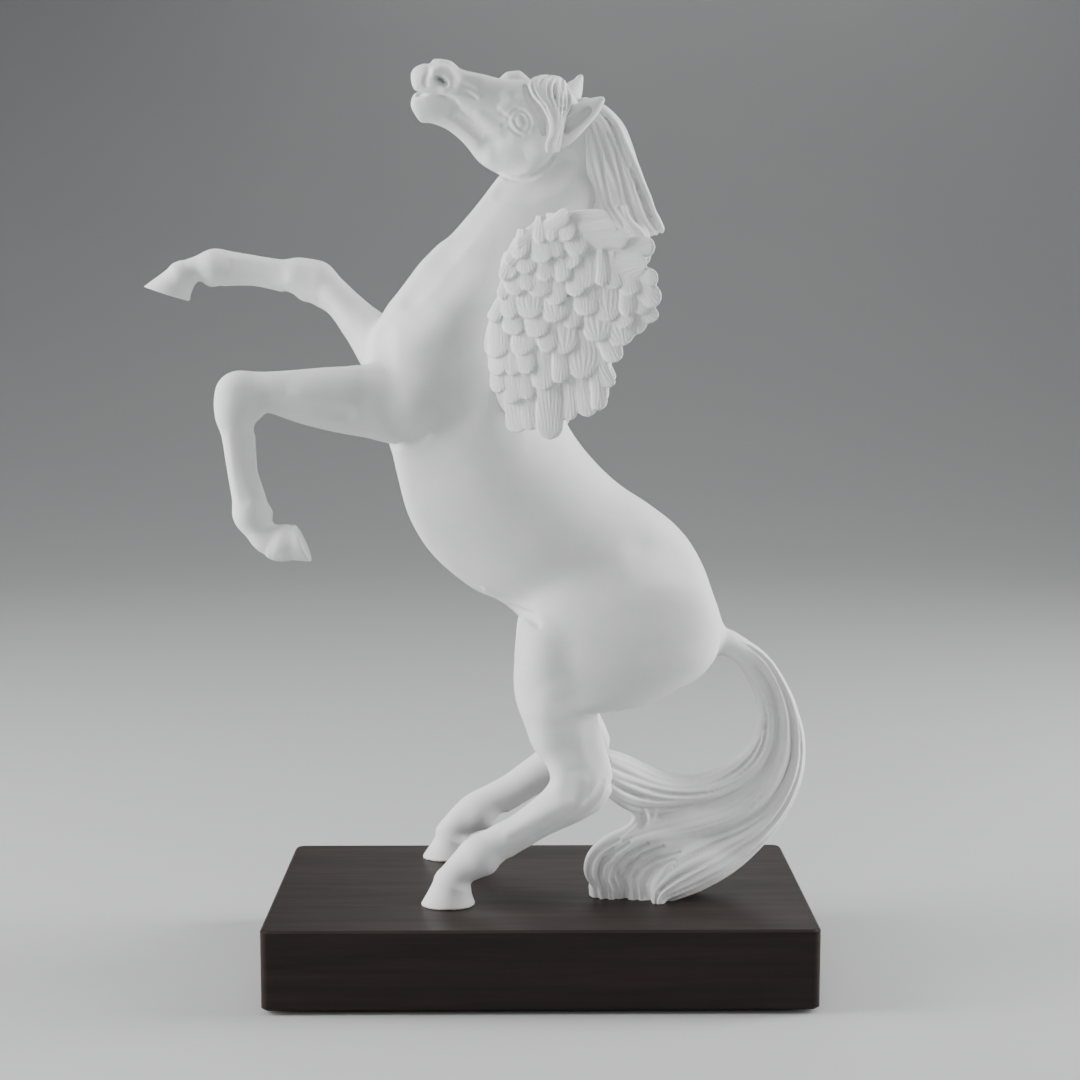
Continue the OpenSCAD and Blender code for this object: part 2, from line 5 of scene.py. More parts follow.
import bmesh
import bpy
import numpy as np
import openvdb as vdb
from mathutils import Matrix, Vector


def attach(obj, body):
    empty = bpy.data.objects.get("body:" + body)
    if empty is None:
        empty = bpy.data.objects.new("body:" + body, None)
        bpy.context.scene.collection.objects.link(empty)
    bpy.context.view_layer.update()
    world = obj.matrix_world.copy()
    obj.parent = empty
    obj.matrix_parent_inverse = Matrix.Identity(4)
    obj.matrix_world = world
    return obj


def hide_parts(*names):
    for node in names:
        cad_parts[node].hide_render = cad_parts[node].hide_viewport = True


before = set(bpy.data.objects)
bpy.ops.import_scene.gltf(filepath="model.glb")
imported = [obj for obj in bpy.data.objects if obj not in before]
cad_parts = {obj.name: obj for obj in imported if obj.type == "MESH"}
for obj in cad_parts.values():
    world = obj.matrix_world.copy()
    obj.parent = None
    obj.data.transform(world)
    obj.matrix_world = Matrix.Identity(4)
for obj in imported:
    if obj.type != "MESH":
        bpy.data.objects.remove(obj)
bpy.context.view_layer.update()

# The figure is modelled in millimetres. It stands at this height, about this middle plane
SOLE_Z = 31.0
MID_Y = 6.0
# Seams of the casting: heights, a place along X, and a point with the tail's direction there
NECK_SEAM_Z = 292.0
HIP_SEAM_Z = 95.0
ELBOW_SEAM_X = -66.0
TAIL_SEAM = (70.5, 0, 127)
TAIL_RUN = (0.93, 0, -0.37)
# The tail's sweep is below its root. The body's skin goes this far over the tail's seam
TAIL_ROOT_Z = 112
TAIL_TOP_Z = 106
TAIL_OVERLAP = 1.2
# The head leans towards the viewer about a line at this height
LEAN = math.radians(35)
LEAN_Z = 314.0
MOUTH_Z = 332.6
# The far hock and hoof stand further out, and the far wing a little further back
FAR_LEG_OUT = 2
FAR_WING_BACK = 4
# The camera's place, and in metres the place that every lamp points at
EYE = np.array([-5.66, -686.23, 242.89])
FIGURE_MIDDLE = (0, 0, 0.17)
# The Y places tried in turn, from the front, to find where a mark as seen meets the clay
LOOKED_THROUGH = np.arange(-46, 40, 0.1)
# How far from the surface distances are kept, the play round steel parts, and metres in 1 mm
BAND = 6.0
GAP = 0.15
MM = 0.001

# Stations run [front x, front z, back x, back z, half width, centre y]
TRUNK = [
    [61, 113, 67, 122, 9, 6], [52, 107, 69, 133, 19, 6], [36, 107, 66, 143, 24, 6],
    [18, 113, 61, 156, 26, 6], [0, 127, 53, 168, 27, 6], [-13, 139.5, 42, 177, 28, 6],
    [-26, 146, 30, 185, 29, 6], [-40, 158, 20, 194.5, 29, 6], [-49, 172, 12, 205, 28.5, 6],
    [-53.5, 188, 7, 216, 27.5, 6], [-57, 204, 4.5, 227, 26.5, 6], [-62, 221, 5, 238, 25, 6],
    [-62, 238, 7.5, 250, 22, 6], [-54, 251, 11, 262, 18.5, 6], [-43.5, 267, 15, 273, 15.5, 6],
    [-33, 278, 19, 283, 13, 6], [-23.5, 289, 22, 292, 10.8, 6.6], [-15, 300, 23.5, 302, 9, 8],
    [-6, 309, 22.5, 312, 8.2, 6.5], [3, 317, 18, 320, 6.8, 3.5]]
THIGH = [
    [18, 160, 44, 158, 9, -8], [2, 146, 60, 150, 14, -10], [-7, 134, 66, 138, 16, -11],
    [-9, 122, 65.5, 124, 16.5, -12], [-9.3, 117, 62, 118.5, 16, -12.5],
    [-9.5, 113, 57.5, 114.5, 15.5, -13], [-9.2, 109.5, 48.5, 109, 14.8, -13.8],
    [-8.5, 106.5, 39, 105, 14, -15], [-7.6, 104.3, 29, 103.3, 13, -16],
    [-6.8, 102.8, 20.8, 103, 12.2, -17.2], [-5.5, 100.3, 20.5, 100.3, 11.3, -18],
    [-3.4, 95.5, 21.4, 96, 10.3, -19.2],
    [-1, 89, 22.8, 89.5, 9.2, -20.7], [2.2, 83.5, 24.8, 83.5, 8.3, -22],
    [3.9, 79, 25.8, 78.5, 7.9, -23], [3, 76, 25, 72, 7.4, -23.5], [0, 72.6, 18, 65.2, 6.9, -24],
    [-5, 68.4, 6, 59.8, 6.2, -24], [-10.5, 64.3, -2, 55, 5.6, -24],
    [-18.5, 60, -10.5, 49.8, 5.3, -24], [-26, 55.8, -18, 44, 5.8, -24],
    [-31, 51.3, -23, 40.9, 5.6, -24], [-35.5, 46, -26, 39.2, 5.6, -24],
    [-39, 42, -26.3, 37.5, 5.8, -24]]
NEAR_FORELEG = [
    [-24, 238, -22, 222, 10, -5], [-40, 235, -38, 205, 13, -9], [-55, 231, -52, 201.5, 12, -12],
    [-66, 230, -62, 203.5, 10.5, -15], [-78, 229.5, -75, 206, 9.3, -18],
    [-90, 228.5, -88, 209.5, 7.8, -20.5], [-100, 228, -97.5, 213, 6.7, -22],
    [-109, 228, -101, 213, 6.6, -23], [-115, 223.5, -102.5, 210.5, 6.6, -23],
    [-117, 216, -103.8, 205.5, 6, -23], [-115, 205, -104, 200, 5, -23],
    [-113.2, 192, -103.5, 192, 4.6, -23], [-111.5, 181, -100.5, 184, 5, -23],
    [-110, 173.5, -98.7, 177.5, 5.7, -23], [-106.5, 168, -96.5, 172.5, 5.1, -23],
    [-102.5, 163, -94.5, 172.8, 5.4, -23], [-96, 160.3, -91.8, 172.3, 5.9, -23],
    [-92, 159.6, -90.5, 172, 6.2, -23]]
FAR_FORELEG = [
    [-30, 242, -30, 222, 10, 15], [-44, 244, -46, 212, 13, 21], [-57, 247, -60, 218, 12, 24.5],
    [-67, 254, -68, 228.5, 10.5, 27], [-75, 261.5, -74, 239, 9, 28.5],
    [-82, 267.3, -80.5, 248.5, 7.8, 29.5], [-89, 268.9, -87, 252.5, 7, 30],
    [-96, 269.5, -94, 256.5, 6.4, 30], [-106, 271, -104, 260, 5, 30],
    [-116, 272.7, -115, 261, 4.8, 30], [-125, 273.7, -124.5, 260.3, 5.7, 30],
    [-131.5, 271.5, -130.5, 261.8, 5.1, 30], [-137, 269.6, -134, 259.5, 5.7, 30],
    [-141.5, 267.6, -136, 257, 6.2, 30]]

# The head before it leans over: skull with upper jaw, then lower jaw
SKULL = [
    [-45.7, 334, -46.7, 339.2, 3, 6], [-44, 332.9, -44.8, 341.5, 5, 6],
    [-39.3, 332.4, -39.9, 343, 6.2, 6], [-33.4, 331.7, -34, 343.2, 6.3, 6],
    [-28.7, 325.8, -28.1, 340.6, 5.6, 6], [-23.9, 318.5, -21.2, 339, 6.2, 6],
    [-19, 309.5, -14.4, 337, 7.6, 6], [-14.6, 301, -8, 336.4, 9.4, 6],
    [-8, 296.3, -1.6, 336.3, 10, 6], [-1, 299.2, 4.9, 335.2, 9.6, 6],
    [5, 308, 10.8, 331.8, 8, 6], [10, 317, 15, 327.3, 5.5, 6]]
JAW = [
    [-46.3, 325.4, -47.2, 328, 2.6, 6], [-43.6, 320.5, -44.8, 331, 4.4, 6],
    [-39.7, 320, -40, 332.6, 5, 6], [-33.8, 317.2, -34.2, 332.6, 4.9, 6],
    [-27.9, 311.6, -26.9, 328, 5.5, 6], [-22, 303.5, -18, 322, 6.8, 6],
    [-14, 298.3, -12, 317, 7.5, 6]]
MANE = [
    [12, 327, 17, 326, 2.5, 1], [14.5, 320, 26.5, 318, 4, 2.5], [17, 308, 32, 308, 5, 4.5],
    [18, 298, 35.5, 298, 5.5, 5.5], [20, 289, 38, 289, 5.5, 6], [26, 281, 38, 282, 4, 6],
    [31, 277, 36, 278, 2, 6]]
TAIL = [
    [62, 131, 60, 123, 4, 6], [74, 126.5, 72, 121.5, 3, 6], [83, 120, 79, 116, 3, 6],
    [90.5, 110.5, 84, 107.5, 3, 6], [95, 100, 86, 98, 3.5, 6], [97, 88, 85, 89.5, 4, 5],
    [96, 77, 81, 82, 4.5, 3], [91, 65, 74, 76, 5, 0], [83, 53, 65, 70, 5.5, -2.5],
    [74, 43, 56, 67, 6, -4.5], [63, 37, 48, 62, 7, -7], [52, 33, 42, 54, 7, -9]]

# Guide lines for the hair, as seen from the front: [x, z, depth, half thickness]
TAIL_INNER = [
    [66, 123.5, 6, 2], [71.5, 120.3, 6, 3.6], [76, 116, 6, 4.5], [80, 109.5, 6, 5],
    [82.7, 101, 6, 6], [83, 94, 5.5, 7], [81, 87, 5, 7.5], [76, 81, 3.5, 8], [68, 76, 1.5, 8],
    [58, 73, -1, 8], [48, 73.8, -4, 7.5], [40, 77, -8, 6.5], [33, 80.3, -14, 5],
    [27, 82.5, -19, 3.6], [23, 84, -21, 2.5]]
TAIL_MIDDLE = [
    [67, 126, 6, 2], [75, 123, 6, 4.4], [82, 117, 6, 5], [87, 109.5, 6, 5.5],
    [90, 100.5, 6, 6.5], [90.5, 91.5, 5.5, 7.5], [89, 83, 4.5, 8], [85, 75.5, 3, 8.5],
    [78, 69, 1, 8.5]]
TRESS_LOWER = [
    [68, 64.5, -1.5, 8.5], [57, 62, -4, 8], [47, 60.5, -7, 7.5], [39.5, 60.5, -10, 6.5],
    [32.5, 62.5, -15, 5], [25, 68, -20, 3]]
TUFT_UPPER = [
    [68, 62.5, -1.5, 8.5], [57, 60, -4, 8], [46, 57.5, -7, 7], [38, 55, -9, 6],
    [31, 52, -11, 5.5], [25, 48.8, -12, 5.5], [20, 44.3, -13, 5.5], [17.8, 39.5, -13.5, 5.5],
    [18.2, 35, -14, 5.5], [21, 30, -14, 5.5], [22, 23, -14, 5.5]]
TAIL_OUTER = [
    [68, 127, 6, 2], [77, 125.3, 6, 4.4], [85, 120.5, 6, 5.5], [91, 111, 6, 6], [94.5, 101, 6, 7],
    [95.5, 92, 5.5, 8], [95, 82, 4, 9], [91.5, 72, 2, 10], [85, 63, -0.5, 10.5],
    [75, 56, -3, 10.5], [64, 51.5, -5, 10]]
TUFT_LOWER = [
    [54, 50, -8, 9], [46, 48.5, -10, 8], [39, 45.5, -12, 7], [34.5, 41, -13, 6.5],
    [33, 35.5, -14, 6], [33.5, 30, -14, 6], [33, 23, -14, 6]]
LOCK_UPPER = [
    [56, 48, -8, 11], [50, 44.5, -11, 11], [45.5, 39.5, -13, 11], [42, 33, -15, 10.5],
    [42.5, 24, -16, 10]]
WEB_LEFT = [
    [30, 66.5, -16, 3], [33, 62.5, -13, 3.6], [35.3, 58.5, -11.5, 4], [34.8, 55, -11, 4],
    [30.5, 51, -12, 4], [26, 47, -13, 4]]
WEB_RIGHT = [
    [46, 66, -7, 5], [46, 62.5, -7, 5.5], [45, 59, -7.5, 5.5], [42, 55, -8.5, 5.5],
    [37.5, 51.5, -10, 5], [33, 48, -11.5, 4.5]]
TAIL_EDGE = [
    [69, 128, 6, 2], [79.5, 125.2, 6, 4], [88, 118, 6, 5], [94.5, 107.5, 6, 5.5],
    [98.5, 98, 6, 6.5], [100.8, 88, 5, 7.5], [100.5, 77, 4, 8.5], [97.5, 67, 2, 10],
    [92, 57, 0, 11], [85, 48.5, -3, 12], [77, 41, -6, 12.5], [69, 35.5, -9, 13],
    [61, 31, -11, 13], [54, 28, -13, 12.5], [49.5, 26, -14, 12], [47, 23, -15, 11]]
HOLLOW_UPPER = [
    [60, 54, -4, 8], [50, 52, -7, 8], [42, 48, -9.5, 8], [36, 43, -11, 7.5], [32.5, 37, -12, 7],
    [31.5, 30, -13, 7], [31.5, 24, -13, 7]]
HOLLOW_LOWER = [
    [62, 46, -5, 8], [55, 43, -8, 8], [50, 38, -10, 8], [46.5, 33, -12, 7.5], [45, 28, -13, 7],
    [45, 24, -13, 7]]
# Grooves between the locks of the tail's tuft, as seen from the front: [x, z, radius]
TUFT_GROOVES = [
    [[31, 47, 0.6], [24.5, 43.5, 0.9], [20.5, 39, 0.9], [19.5, 33.5, 0.9], [21.5, 28.5, 0.9],
     [22.5, 23, 0.9]],
    [[35, 45.5, 0.6], [29, 41.5, 0.9], [24.5, 36.5, 1], [24, 32, 1], [25.5, 27.5, 0.9],
     [26, 23, 0.9]],
    [[42, 45, 0.6], [34, 40.5, 0.9], [29.5, 35.5, 1.1], [28, 31, 1.1], [30, 26.5, 1],
     [30, 23, 0.9]],
    [[48, 44, 0.6], [39.5, 40, 0.9], [34.5, 35.5, 1], [32.5, 31, 1], [34, 26.5, 0.9],
     [33.5, 23, 0.9]],
    [[54.5, 42, 0.6], [46, 39, 1], [40, 35, 1.2], [37, 31.5, 1.1], [37.5, 27, 1], [38, 23, 1]],
    [[52.5, 39, 0.6], [45, 35.5, 1.1], [42, 32.5, 1.3], [40.5, 29, 1.2], [41, 24, 1.1]]]
MANE_FRONT = [
    [11.5, 327, 1, 3], [13.5, 321, 1, 3.4], [15.5, 314, 2, 3.6], [16.5, 306, 3, 3.8],
    [17.3, 298, 4, 4], [18, 291, 5, 4], [20, 284, 5, 3.8], [24.5, 278, 5, 3.2], [29, 275, 4, 2]]
MANE_BACK = [
    [17, 328, 1, 3.5], [24, 324.5, 1, 4.5], [30, 318.5, 2, 5.5], [34, 311, 3, 6],
    [37.5, 302.5, 4, 6.5], [40, 294, 5, 6.5], [42.5, 287, 5, 6], [45.5, 281, 5, 4],
    [46, 279.5, 5, 2]]
MANE_TIP_FRONT = [
    [27, 288, 4, 5], [30, 282, 4, 5], [34, 276.5, 4, 4.5], [37, 272.5, 4, 3],
    [38.5, 270.5, 4, 1.5]]
MANE_TIP_BACK = [
    [34, 289, 4, 5], [37, 283, 4, 5], [40, 278.5, 4, 4.5], [41, 275, 4, 3], [40, 272, 4, 1.5]]
FORELOCK_LEFT = [
    [6, 336], [0, 335.4], [-3.4, 333], [-2.4, 329.3], [1.2, 325], [3.4, 320], [3.5, 315.5],
    [2.2, 311.5], [2.6, 308.3]]
FORELOCK_RIGHT = [
    [10, 333], [11, 331.3], [12, 328.3], [11.6, 325], [9.8, 321], [9, 316.5], [8.3, 312],
    [7.4, 308.4]]

# The wing from its leading edge to its trailing edge, and how far it stands out on the way
WING_FRONT_X, WING_BACK_X = -19.5, 41.0
WING_FRONT_Y, WING_FLARE = -17, 14
WING_PLATE = [
    [-19.5, 241, -19.5, 235, 0.6, 0.5], [-16, 250, -17, 222, 1.8, 0],
    [-11.5, 267, -13, 213, 2.5, 0], [-5, 275.5, -6, 210, 2.8, 0], [4, 281, 3, 208, 2.8, 0],
    [14, 282, 12, 212, 2.8, 0], [24, 279, 20, 218, 2.7, 0], [32, 272, 27, 234, 2.4, 0],
    [37.5, 265, 35.5, 246, 1.8, 0], [40, 260, 40, 254, 0.5, 0]]
# Feathers as seen from the front: [root x, root z, tip x, tip z, width]
LONG_FEATHERS = [
    [-11, 226, -8, 204.5, 10], [-4, 226, -3, 205.5, 7], [3, 230, 4, 202, 10],
    [9, 234, 11, 209, 7], [14, 234, 18.5, 210.5, 7.5], [18, 236, 22.5, 213, 6],
    [21, 242, 26.5, 221.5, 6.5], [22, 247, 29, 231, 7.5], [26, 253, 31.5, 237, 11],
    [31, 254, 37.5, 241.5, 9], [33, 257, 43.5, 246.5, 7.5], [32, 262, 44.5, 252.5, 8],
    [2, 284, -8, 273, 6], [-3, 280, -12, 267, 6], [-8, 276, -13.3, 261, 5.5],
    [-10, 266, -14, 254, 5.5], [-12, 258, -18, 246, 5.5],
    [-2, 278, 11, 286.5, 6], [2, 280.5, 26, 284.2, 6], [7, 278, 29, 280.5, 6.5],
    [12, 275, 33, 276.3, 7.5], [22, 273, 43, 273.5, 8], [14, 268, 40, 267.5, 11],
    [30, 264, 44, 261, 9]]
# Small feathers in rows, the lowest row first
FEATHERS = [
    [-16, 229, -15.5, 219.5, 6.5], [-11, 229, -10, 215.5, 9], [-5, 231, -4.5, 217, 7.5],
    [1, 237, 2, 220.5, 8.5], [7, 239, 8, 223, 7], [15, 243, 16, 224.5, 11],
    [21, 255, 22, 238.5, 11.5], [29, 257, 32, 243.5, 9.5], [36.5, 261, 38.5, 248.5, 8],
    [-16, 237, -15.5, 226, 7.5], [-11, 238, -9.5, 226, 6.5], [-5.5, 239, -4.5, 226.5, 7.5],
    [2.5, 247, 3.5, 234.5, 8], [9, 249, 9.5, 234, 11.5], [-16, 246, -16.5, 232.5, 9.5],
    [-7, 247, -6.5, 233.5, 9.5], [-10, 253, -8.5, 241, 7.5], [-1.5, 253, -0.5, 240, 9],
    [12, 255, 12.5, 243.5, 7], [5, 258, 6, 245.5, 10.5], [17, 264, 18, 248, 9.5],
    [25.5, 263, 26, 246, 11], [32, 263, 33, 248, 7], [-11, 260, -10.5, 247, 6.5],
    [-3.5, 260, -3, 247, 10.5], [5.5, 265, 6.5, 252, 8], [12.5, 270, 13.5, 255, 8],
    [0.5, 267, 1, 255, 9.5], [17.5, 273, 18.5, 258.5, 9], [23, 273, 23.5, 259, 5.5],
    [27.5, 272, 28.5, 258, 8.5], [33, 270, 34.5, 255.5, 8.5], [-9, 268, -8, 255.5, 7.5],
    [-4.5, 270, -3.5, 257.5, 7.5], [7.5, 272, 8.5, 260.5, 7], [2.5, 273, 3, 261, 8.5],
    [11, 276, 12, 265.5, 7.5], [-11, 272, -10.5, 262, 6.5], [-5.5, 275, -4.5, 263.5, 8],
    [0, 280, 2, 267.5, 9], [6, 281, 7, 269.5, 7], [12.5, 281, 15, 270, 9.5],
    [-6, 280, -8, 269, 6.5], [0.5, 285, 0.5, 275, 5.5], [4.5, 286, 4.5, 275.5, 5.5],
    [9, 285, 10.5, 275.5, 8.5]]
INNER_FEATHERS = [
    [-6, 236, -8, 211, 9], [0, 238, 0, 207, 9], [6, 240, 8, 210, 9], [12, 243, 16, 217, 9],
    [16, 247, 23, 227, 9], [19, 253, 31, 239, 9], [20, 259, 37, 250, 9], [18, 266, 38, 259, 9],
    [14, 273, 33, 268, 9], [6, 278, 24, 277, 9], [-2, 272, 8, 282, 9]]


def smooth_run(stations, steps):
    """A smooth run through the stations, with steps rings between each pair."""
    s = np.array(stations, float)
    last = len(s) - 1
    t = (np.arange(steps) / steps)[:, None]
    rings = []
    for i in range(last):
        a, b, c, d = s[max(i - 1, 0)], s[i], s[i + 1], s[min(i + 2, last)]
        rings.append(0.5 * (2 * b + (c - a) * t + (2 * a - 5 * b + 4 * c - d) * t * t
                            + (3 * b - a - 3 * c + d) * t ** 3))
    return np.concatenate(rings + [s[-1:]])


def tube(rings):
    """A closed skin over rings of points, with a centre point at each end."""
    n, sides, _ = rings.shape
    points = np.concatenate([rings.reshape(-1, 3), [rings[0].mean(0), rings[-1].mean(0)]])
    j = np.arange(sides)
    k = (j + 1) % sides
    faces = []
    for i in range(n - 1):
        low, high = i * sides, (i + 1) * sides
        faces.append(np.stack([low + j, low + k, high + k], 1))
        faces.append(np.stack([low + j, high + k, high + j], 1))
    faces.append(np.stack([k, j, np.full(sides, n * sides)], 1))
    end = (n - 1) * sides
    faces.append(np.stack([end + j, end + k, np.full(sides, n * sides + 1)], 1))
    return points, np.concatenate(faces)


def loft(stations, sides=48, steps=6, full=1.0):
    """A tube through ovals upright in the horse's side view; full below 1 squares their sides."""
    s = smooth_run(stations, steps)
    a = np.linspace(0, 2 * math.pi, sides, endpoint=False)[None, :]
    c, w = np.cos(a), np.sign(np.sin(a)) * np.abs(np.sin(a)) ** full
    x = (s[:, 0] + s[:, 2])[:, None] / 2 + (s[:, 0] - s[:, 2])[:, None] / 2 * c
    y = s[:, 5][:, None] + s[:, 4][:, None] * w
    z = (s[:, 1] + s[:, 3])[:, None] / 2 + (s[:, 1] - s[:, 3])[:, None] / 2 * c
    return tube(np.stack([x, y, z], -1))


def sweep(path, sides=16, steps=5):
    """A tube along a path of [x, y, z, radius in the side view, radius towards Y]."""
    p = smooth_run(path, steps)
    run = np.gradient(p[:, :3], axis=0)
    run /= np.linalg.norm(run, axis=1, keepdims=True)
    side = np.cross(run, [0.0, 1.0, 0.0])
    side /= np.linalg.norm(side, axis=1, keepdims=True)
    out = np.cross(run, side)
    a = np.linspace(0, 2 * math.pi, sides, endpoint=False)[None, :, None]
    return tube(p[:, None, :3] + side[:, None] * np.cos(a) * np.abs(p[:, None, 3:4])
                + out[:, None] * np.sin(a) * np.abs(p[:, None, 4:5]))


def together(shapes):
    """Several closed skins as one."""
    points, faces, base = [], [], 0
    for p, f in shapes:
        points.append(p)
        faces.append(f + base)
        base += len(p)
    return np.concatenate(points), np.concatenate(faces)


def seen(x, z, depth, plane):
    """Where a mark seen at [x, z] on an upright plane lies if it is really at some depth."""
    p = np.array([x, plane, z], float)
    return EYE + (p - EYE) * (depth - EYE[1]) / (plane - EYE[1])


def sheaf(first, second, count, layers, seed, plane=MID_Y):
    """Strands that run between two guide lines, side by side and several deep."""
    rng = np.random.default_rng(seed)
    guides = []
    for line in (first, second):
        rows = smooth_run(line, 6)
        at = np.linspace(0, len(rows) - 1, 6 * max(len(first), len(second)) - 5)
        rows = np.stack([np.interp(at, np.arange(len(rows)), c) for c in rows.T], 1)
        guides.append(np.array([[*seen(r[0], r[1], r[2], plane), r[3]] for r in rows]))
    a, b = guides
    along = np.linspace(0, 1, len(a))
    span = np.linalg.norm((b - a)[:, :3], axis=1)
    shapes = []
    for k in range(layers):
        level = (k + 0.5) / layers * 2 - 1
        for i in range(count):
            wave = 0.5 * np.sin(2 * math.pi * (along * rng.uniform(0.5, 1.6) + rng.uniform()))
            t = np.clip((i + 0.5 + rng.uniform(-0.2, 0.2) + wave) / count, 0.02, 0.98)[:, None]
            mid = a + (b - a) * t
            half = mid[:, 3] * np.sqrt(1 - 0.6 * (2 * t[:, 0] - 1) ** 2)
            swell = 1 + 0.18 * np.sin(2 * math.pi * (along * 1.3 + rng.uniform()))
            across = span / count * 0.6 * rng.uniform(0.75, 1.3) * swell
            deep = half / layers * 1.35
            y = mid[:, 1] + level * half * 0.8
            shapes.append(sweep(np.stack([mid[:, 0], y, mid[:, 2], across, deep], 1), 10, 1))
    return together(shapes)


def to_far(points):
    """The same places on the horse's far side."""
    p = np.array(points, float)
    p[:, 1] = 2 * MID_Y - p[:, 1]
    return p


def far_hind(stations):
    """The far hind leg has its hock further back and its hoof further forward."""
    out = []
    for front_x, front_z, back_x, back_z, width, y in stations:
        hock = 2.8 * math.exp(-((back_z - 80) / 8) ** 2)
        front, back = (3.5 * min(max((84 - z) / 14, 0), 1) for z in (front_z, back_z))
        out.append([front_x - front, front_z, back_x + hock - back * (back_z < 70), back_z, width,
                    2 * MID_Y - y + (FAR_LEG_OUT if back_z < HIP_SEAM_Z else 0)])
    return out


def lean(points, angle=LEAN):
    """Points on the upright head, moved to where they are on the leaning one."""
    p = np.atleast_2d(np.array(points, float)).copy()
    y, z = p[:, 1] - MID_Y, p[:, 2] - LEAN_Z
    p[:, 1] = MID_Y + y * math.cos(angle) - z * math.sin(angle)
    p[:, 2] = LEAN_Z + y * math.sin(angle) + z * math.cos(angle)
    return p


def across_head(points):
    """The same places on the other side of the leaning head."""
    p = np.array(points, float)
    p[:, :3] = lean(to_far(lean(p[:, :3], -LEAN)))
    return p


def melted(a, b, melt):
    """The nearer of two distances, with the corner between them filled over melt."""
    low = np.minimum(a, b)
    if melt:
        h = np.maximum(melt - np.abs(a - b), 0) / melt
        low = low - h * h * melt / 4
    return low


class Clay:
    """A lump of modelling clay: the distance to its surface at each point of a box."""

    def __init__(self, low, high, voxel):
        self.voxel = voxel
        self.start = np.floor(np.array(low) / voxel).astype(int)
        self.shape = np.ceil(np.array(high) / voxel).astype(int) - self.start + 1
        self.d = np.full(tuple(self.shape), BAND, np.float32)

    def window(self, points, reach):
        """The slices of the box that lie within reach of the points, or None."""
        a = np.floor((points.min(0) - reach) / self.voxel).astype(int) - self.start
        b = np.ceil((points.max(0) + reach) / self.voxel).astype(int) - self.start + 1
        a, b = np.clip(a, 0, self.shape), np.clip(b, 0, self.shape)
        return None if (b <= a).any() else (a, tuple(slice(i, j) for i, j in zip(a, b)))

    def field_of(self, skin):
        """The window that a closed skin needs, and its distances there."""
        points, faces = skin
        found = self.window(points, BAND)
        if found is None:
            return None, None
        a, part = found
        grid = vdb.FloatGrid.createLevelSetFromPolygons(
            points.astype(np.float32), triangles=faces.astype(np.uint32),
            transform=vdb.createLinearTransform(voxelSize=self.voxel),
            halfWidth=BAND / self.voxel)
        out = np.full(self.d[part].shape, BAND, np.float32)
        grid.copyToArray(out, ijk=tuple(int(i) for i in a + self.start))
        return part, out

    def join(self, skin, melt=0.0):
        part, field = self.field_of(skin)
        if part is not None:
            self.d[part] = melted(self.d[part], field, melt)

    def carve(self, skin, gap):
        """Takes a closed skin, made larger by gap, out of the clay."""
        part, field = self.field_of(skin)
        if part is not None:
            self.d[part] = np.maximum(self.d[part], gap - field)

    def spread(self, links, reach):
        """Distances from a line through the links, and its radius at the nearest point."""
        links = np.array(links, float)
        found = self.window(links[:, :3], reach)
        if found is None:
            return None, None, None
        _, part = found
        axes = [((np.arange(s.start, s.stop) + o) * self.voxel).astype(np.float32)
                for s, o in zip(part, self.start)]
        x, y, z = np.meshgrid(*axes, indexing="ij", sparse=True)
        best = width = None
        pairs = zip(links[:-1], links[1:]) if len(links) > 1 else [(links[0], links[0])]
        for p, q in pairs:
            run = q[:3] - p[:3]
            length = max(float(run @ run), 1e-9)
            t = ((x - p[0]) * run[0] + (y - p[1]) * run[1] + (z - p[2]) * run[2]) / length
            t = np.clip(t, 0, 1)
            away = np.sqrt((x - p[0] - t * run[0]) ** 2 + (y - p[1] - t * run[1]) ** 2
                           + (z - p[2] - t * run[2]) ** 2)
            r = p[3] + (q[3] - p[3]) * t
            if best is None:
                best, width = away, r
            else:
                closer = away - r < best - width
                best, width = np.where(closer, away, best), np.where(closer, r, width)
        return part, best, width

    def add(self, links, melt=1.0):
        """A rounded roll of clay through the links [x, y, z, radius]."""
        reach = max(k[3] for k in links) + BAND
        part, away, width = self.spread(links, reach)
        if part is not None:
            self.d[part] = melted(self.d[part], np.minimum(away - width, BAND), melt)

    def cut(self, links, melt=0.5):
        """A rounded groove through the links [x, y, z, radius]."""
        reach = max(k[3] for k in links) + melt + 1
        part, away, width = self.spread(links, reach)
        if part is not None:
            self.d[part] = -melted(-self.d[part], away - width, melt)

    def swell(self, links, height):
        """Raises the skin by height along the links, falling to nothing at their radius."""
        reach = max(k[3] for k in links)
        part, away, width = self.spread(links, reach)
        if part is not None:
            fall = np.clip(1 - (away / width) ** 2, 0, 1) ** 2
            self.d[part] -= height * fall

    def soften(self, sigma):
        """Rubs the surface smooth over about sigma millimetres."""
        s = sigma / self.voxel
        n = int(math.ceil(3 * s))
        weights = np.exp(-0.5 * (np.arange(-n, n + 1) / s) ** 2)
        weights /= weights.sum()
        for axis in range(3):
            wide = np.pad(self.d, [(n, n) if k == axis else (0, 0) for k in range(3)], "edge")
            out = np.zeros_like(self.d)
            for i, w in enumerate(weights):
                cut = [slice(None)] * 3
                cut[axis] = slice(i, i + self.d.shape[axis])
                out += np.float32(w) * wide[tuple(cut)]
            self.d = out

    def sample(self, points):
        """The distance at any points, between the ones that are stored."""
        q = np.clip(points / self.voxel - self.start, 0, self.shape - 1.001)
        i = q.astype(int)
        f = q - i
        total = 0
        for corner in np.ndindex(2, 2, 2):
            c = np.array(corner)
            weight = np.prod(np.where(c, f, 1 - f), axis=1)
            total = total + weight * self.d[tuple((i + c).T)]
        return total

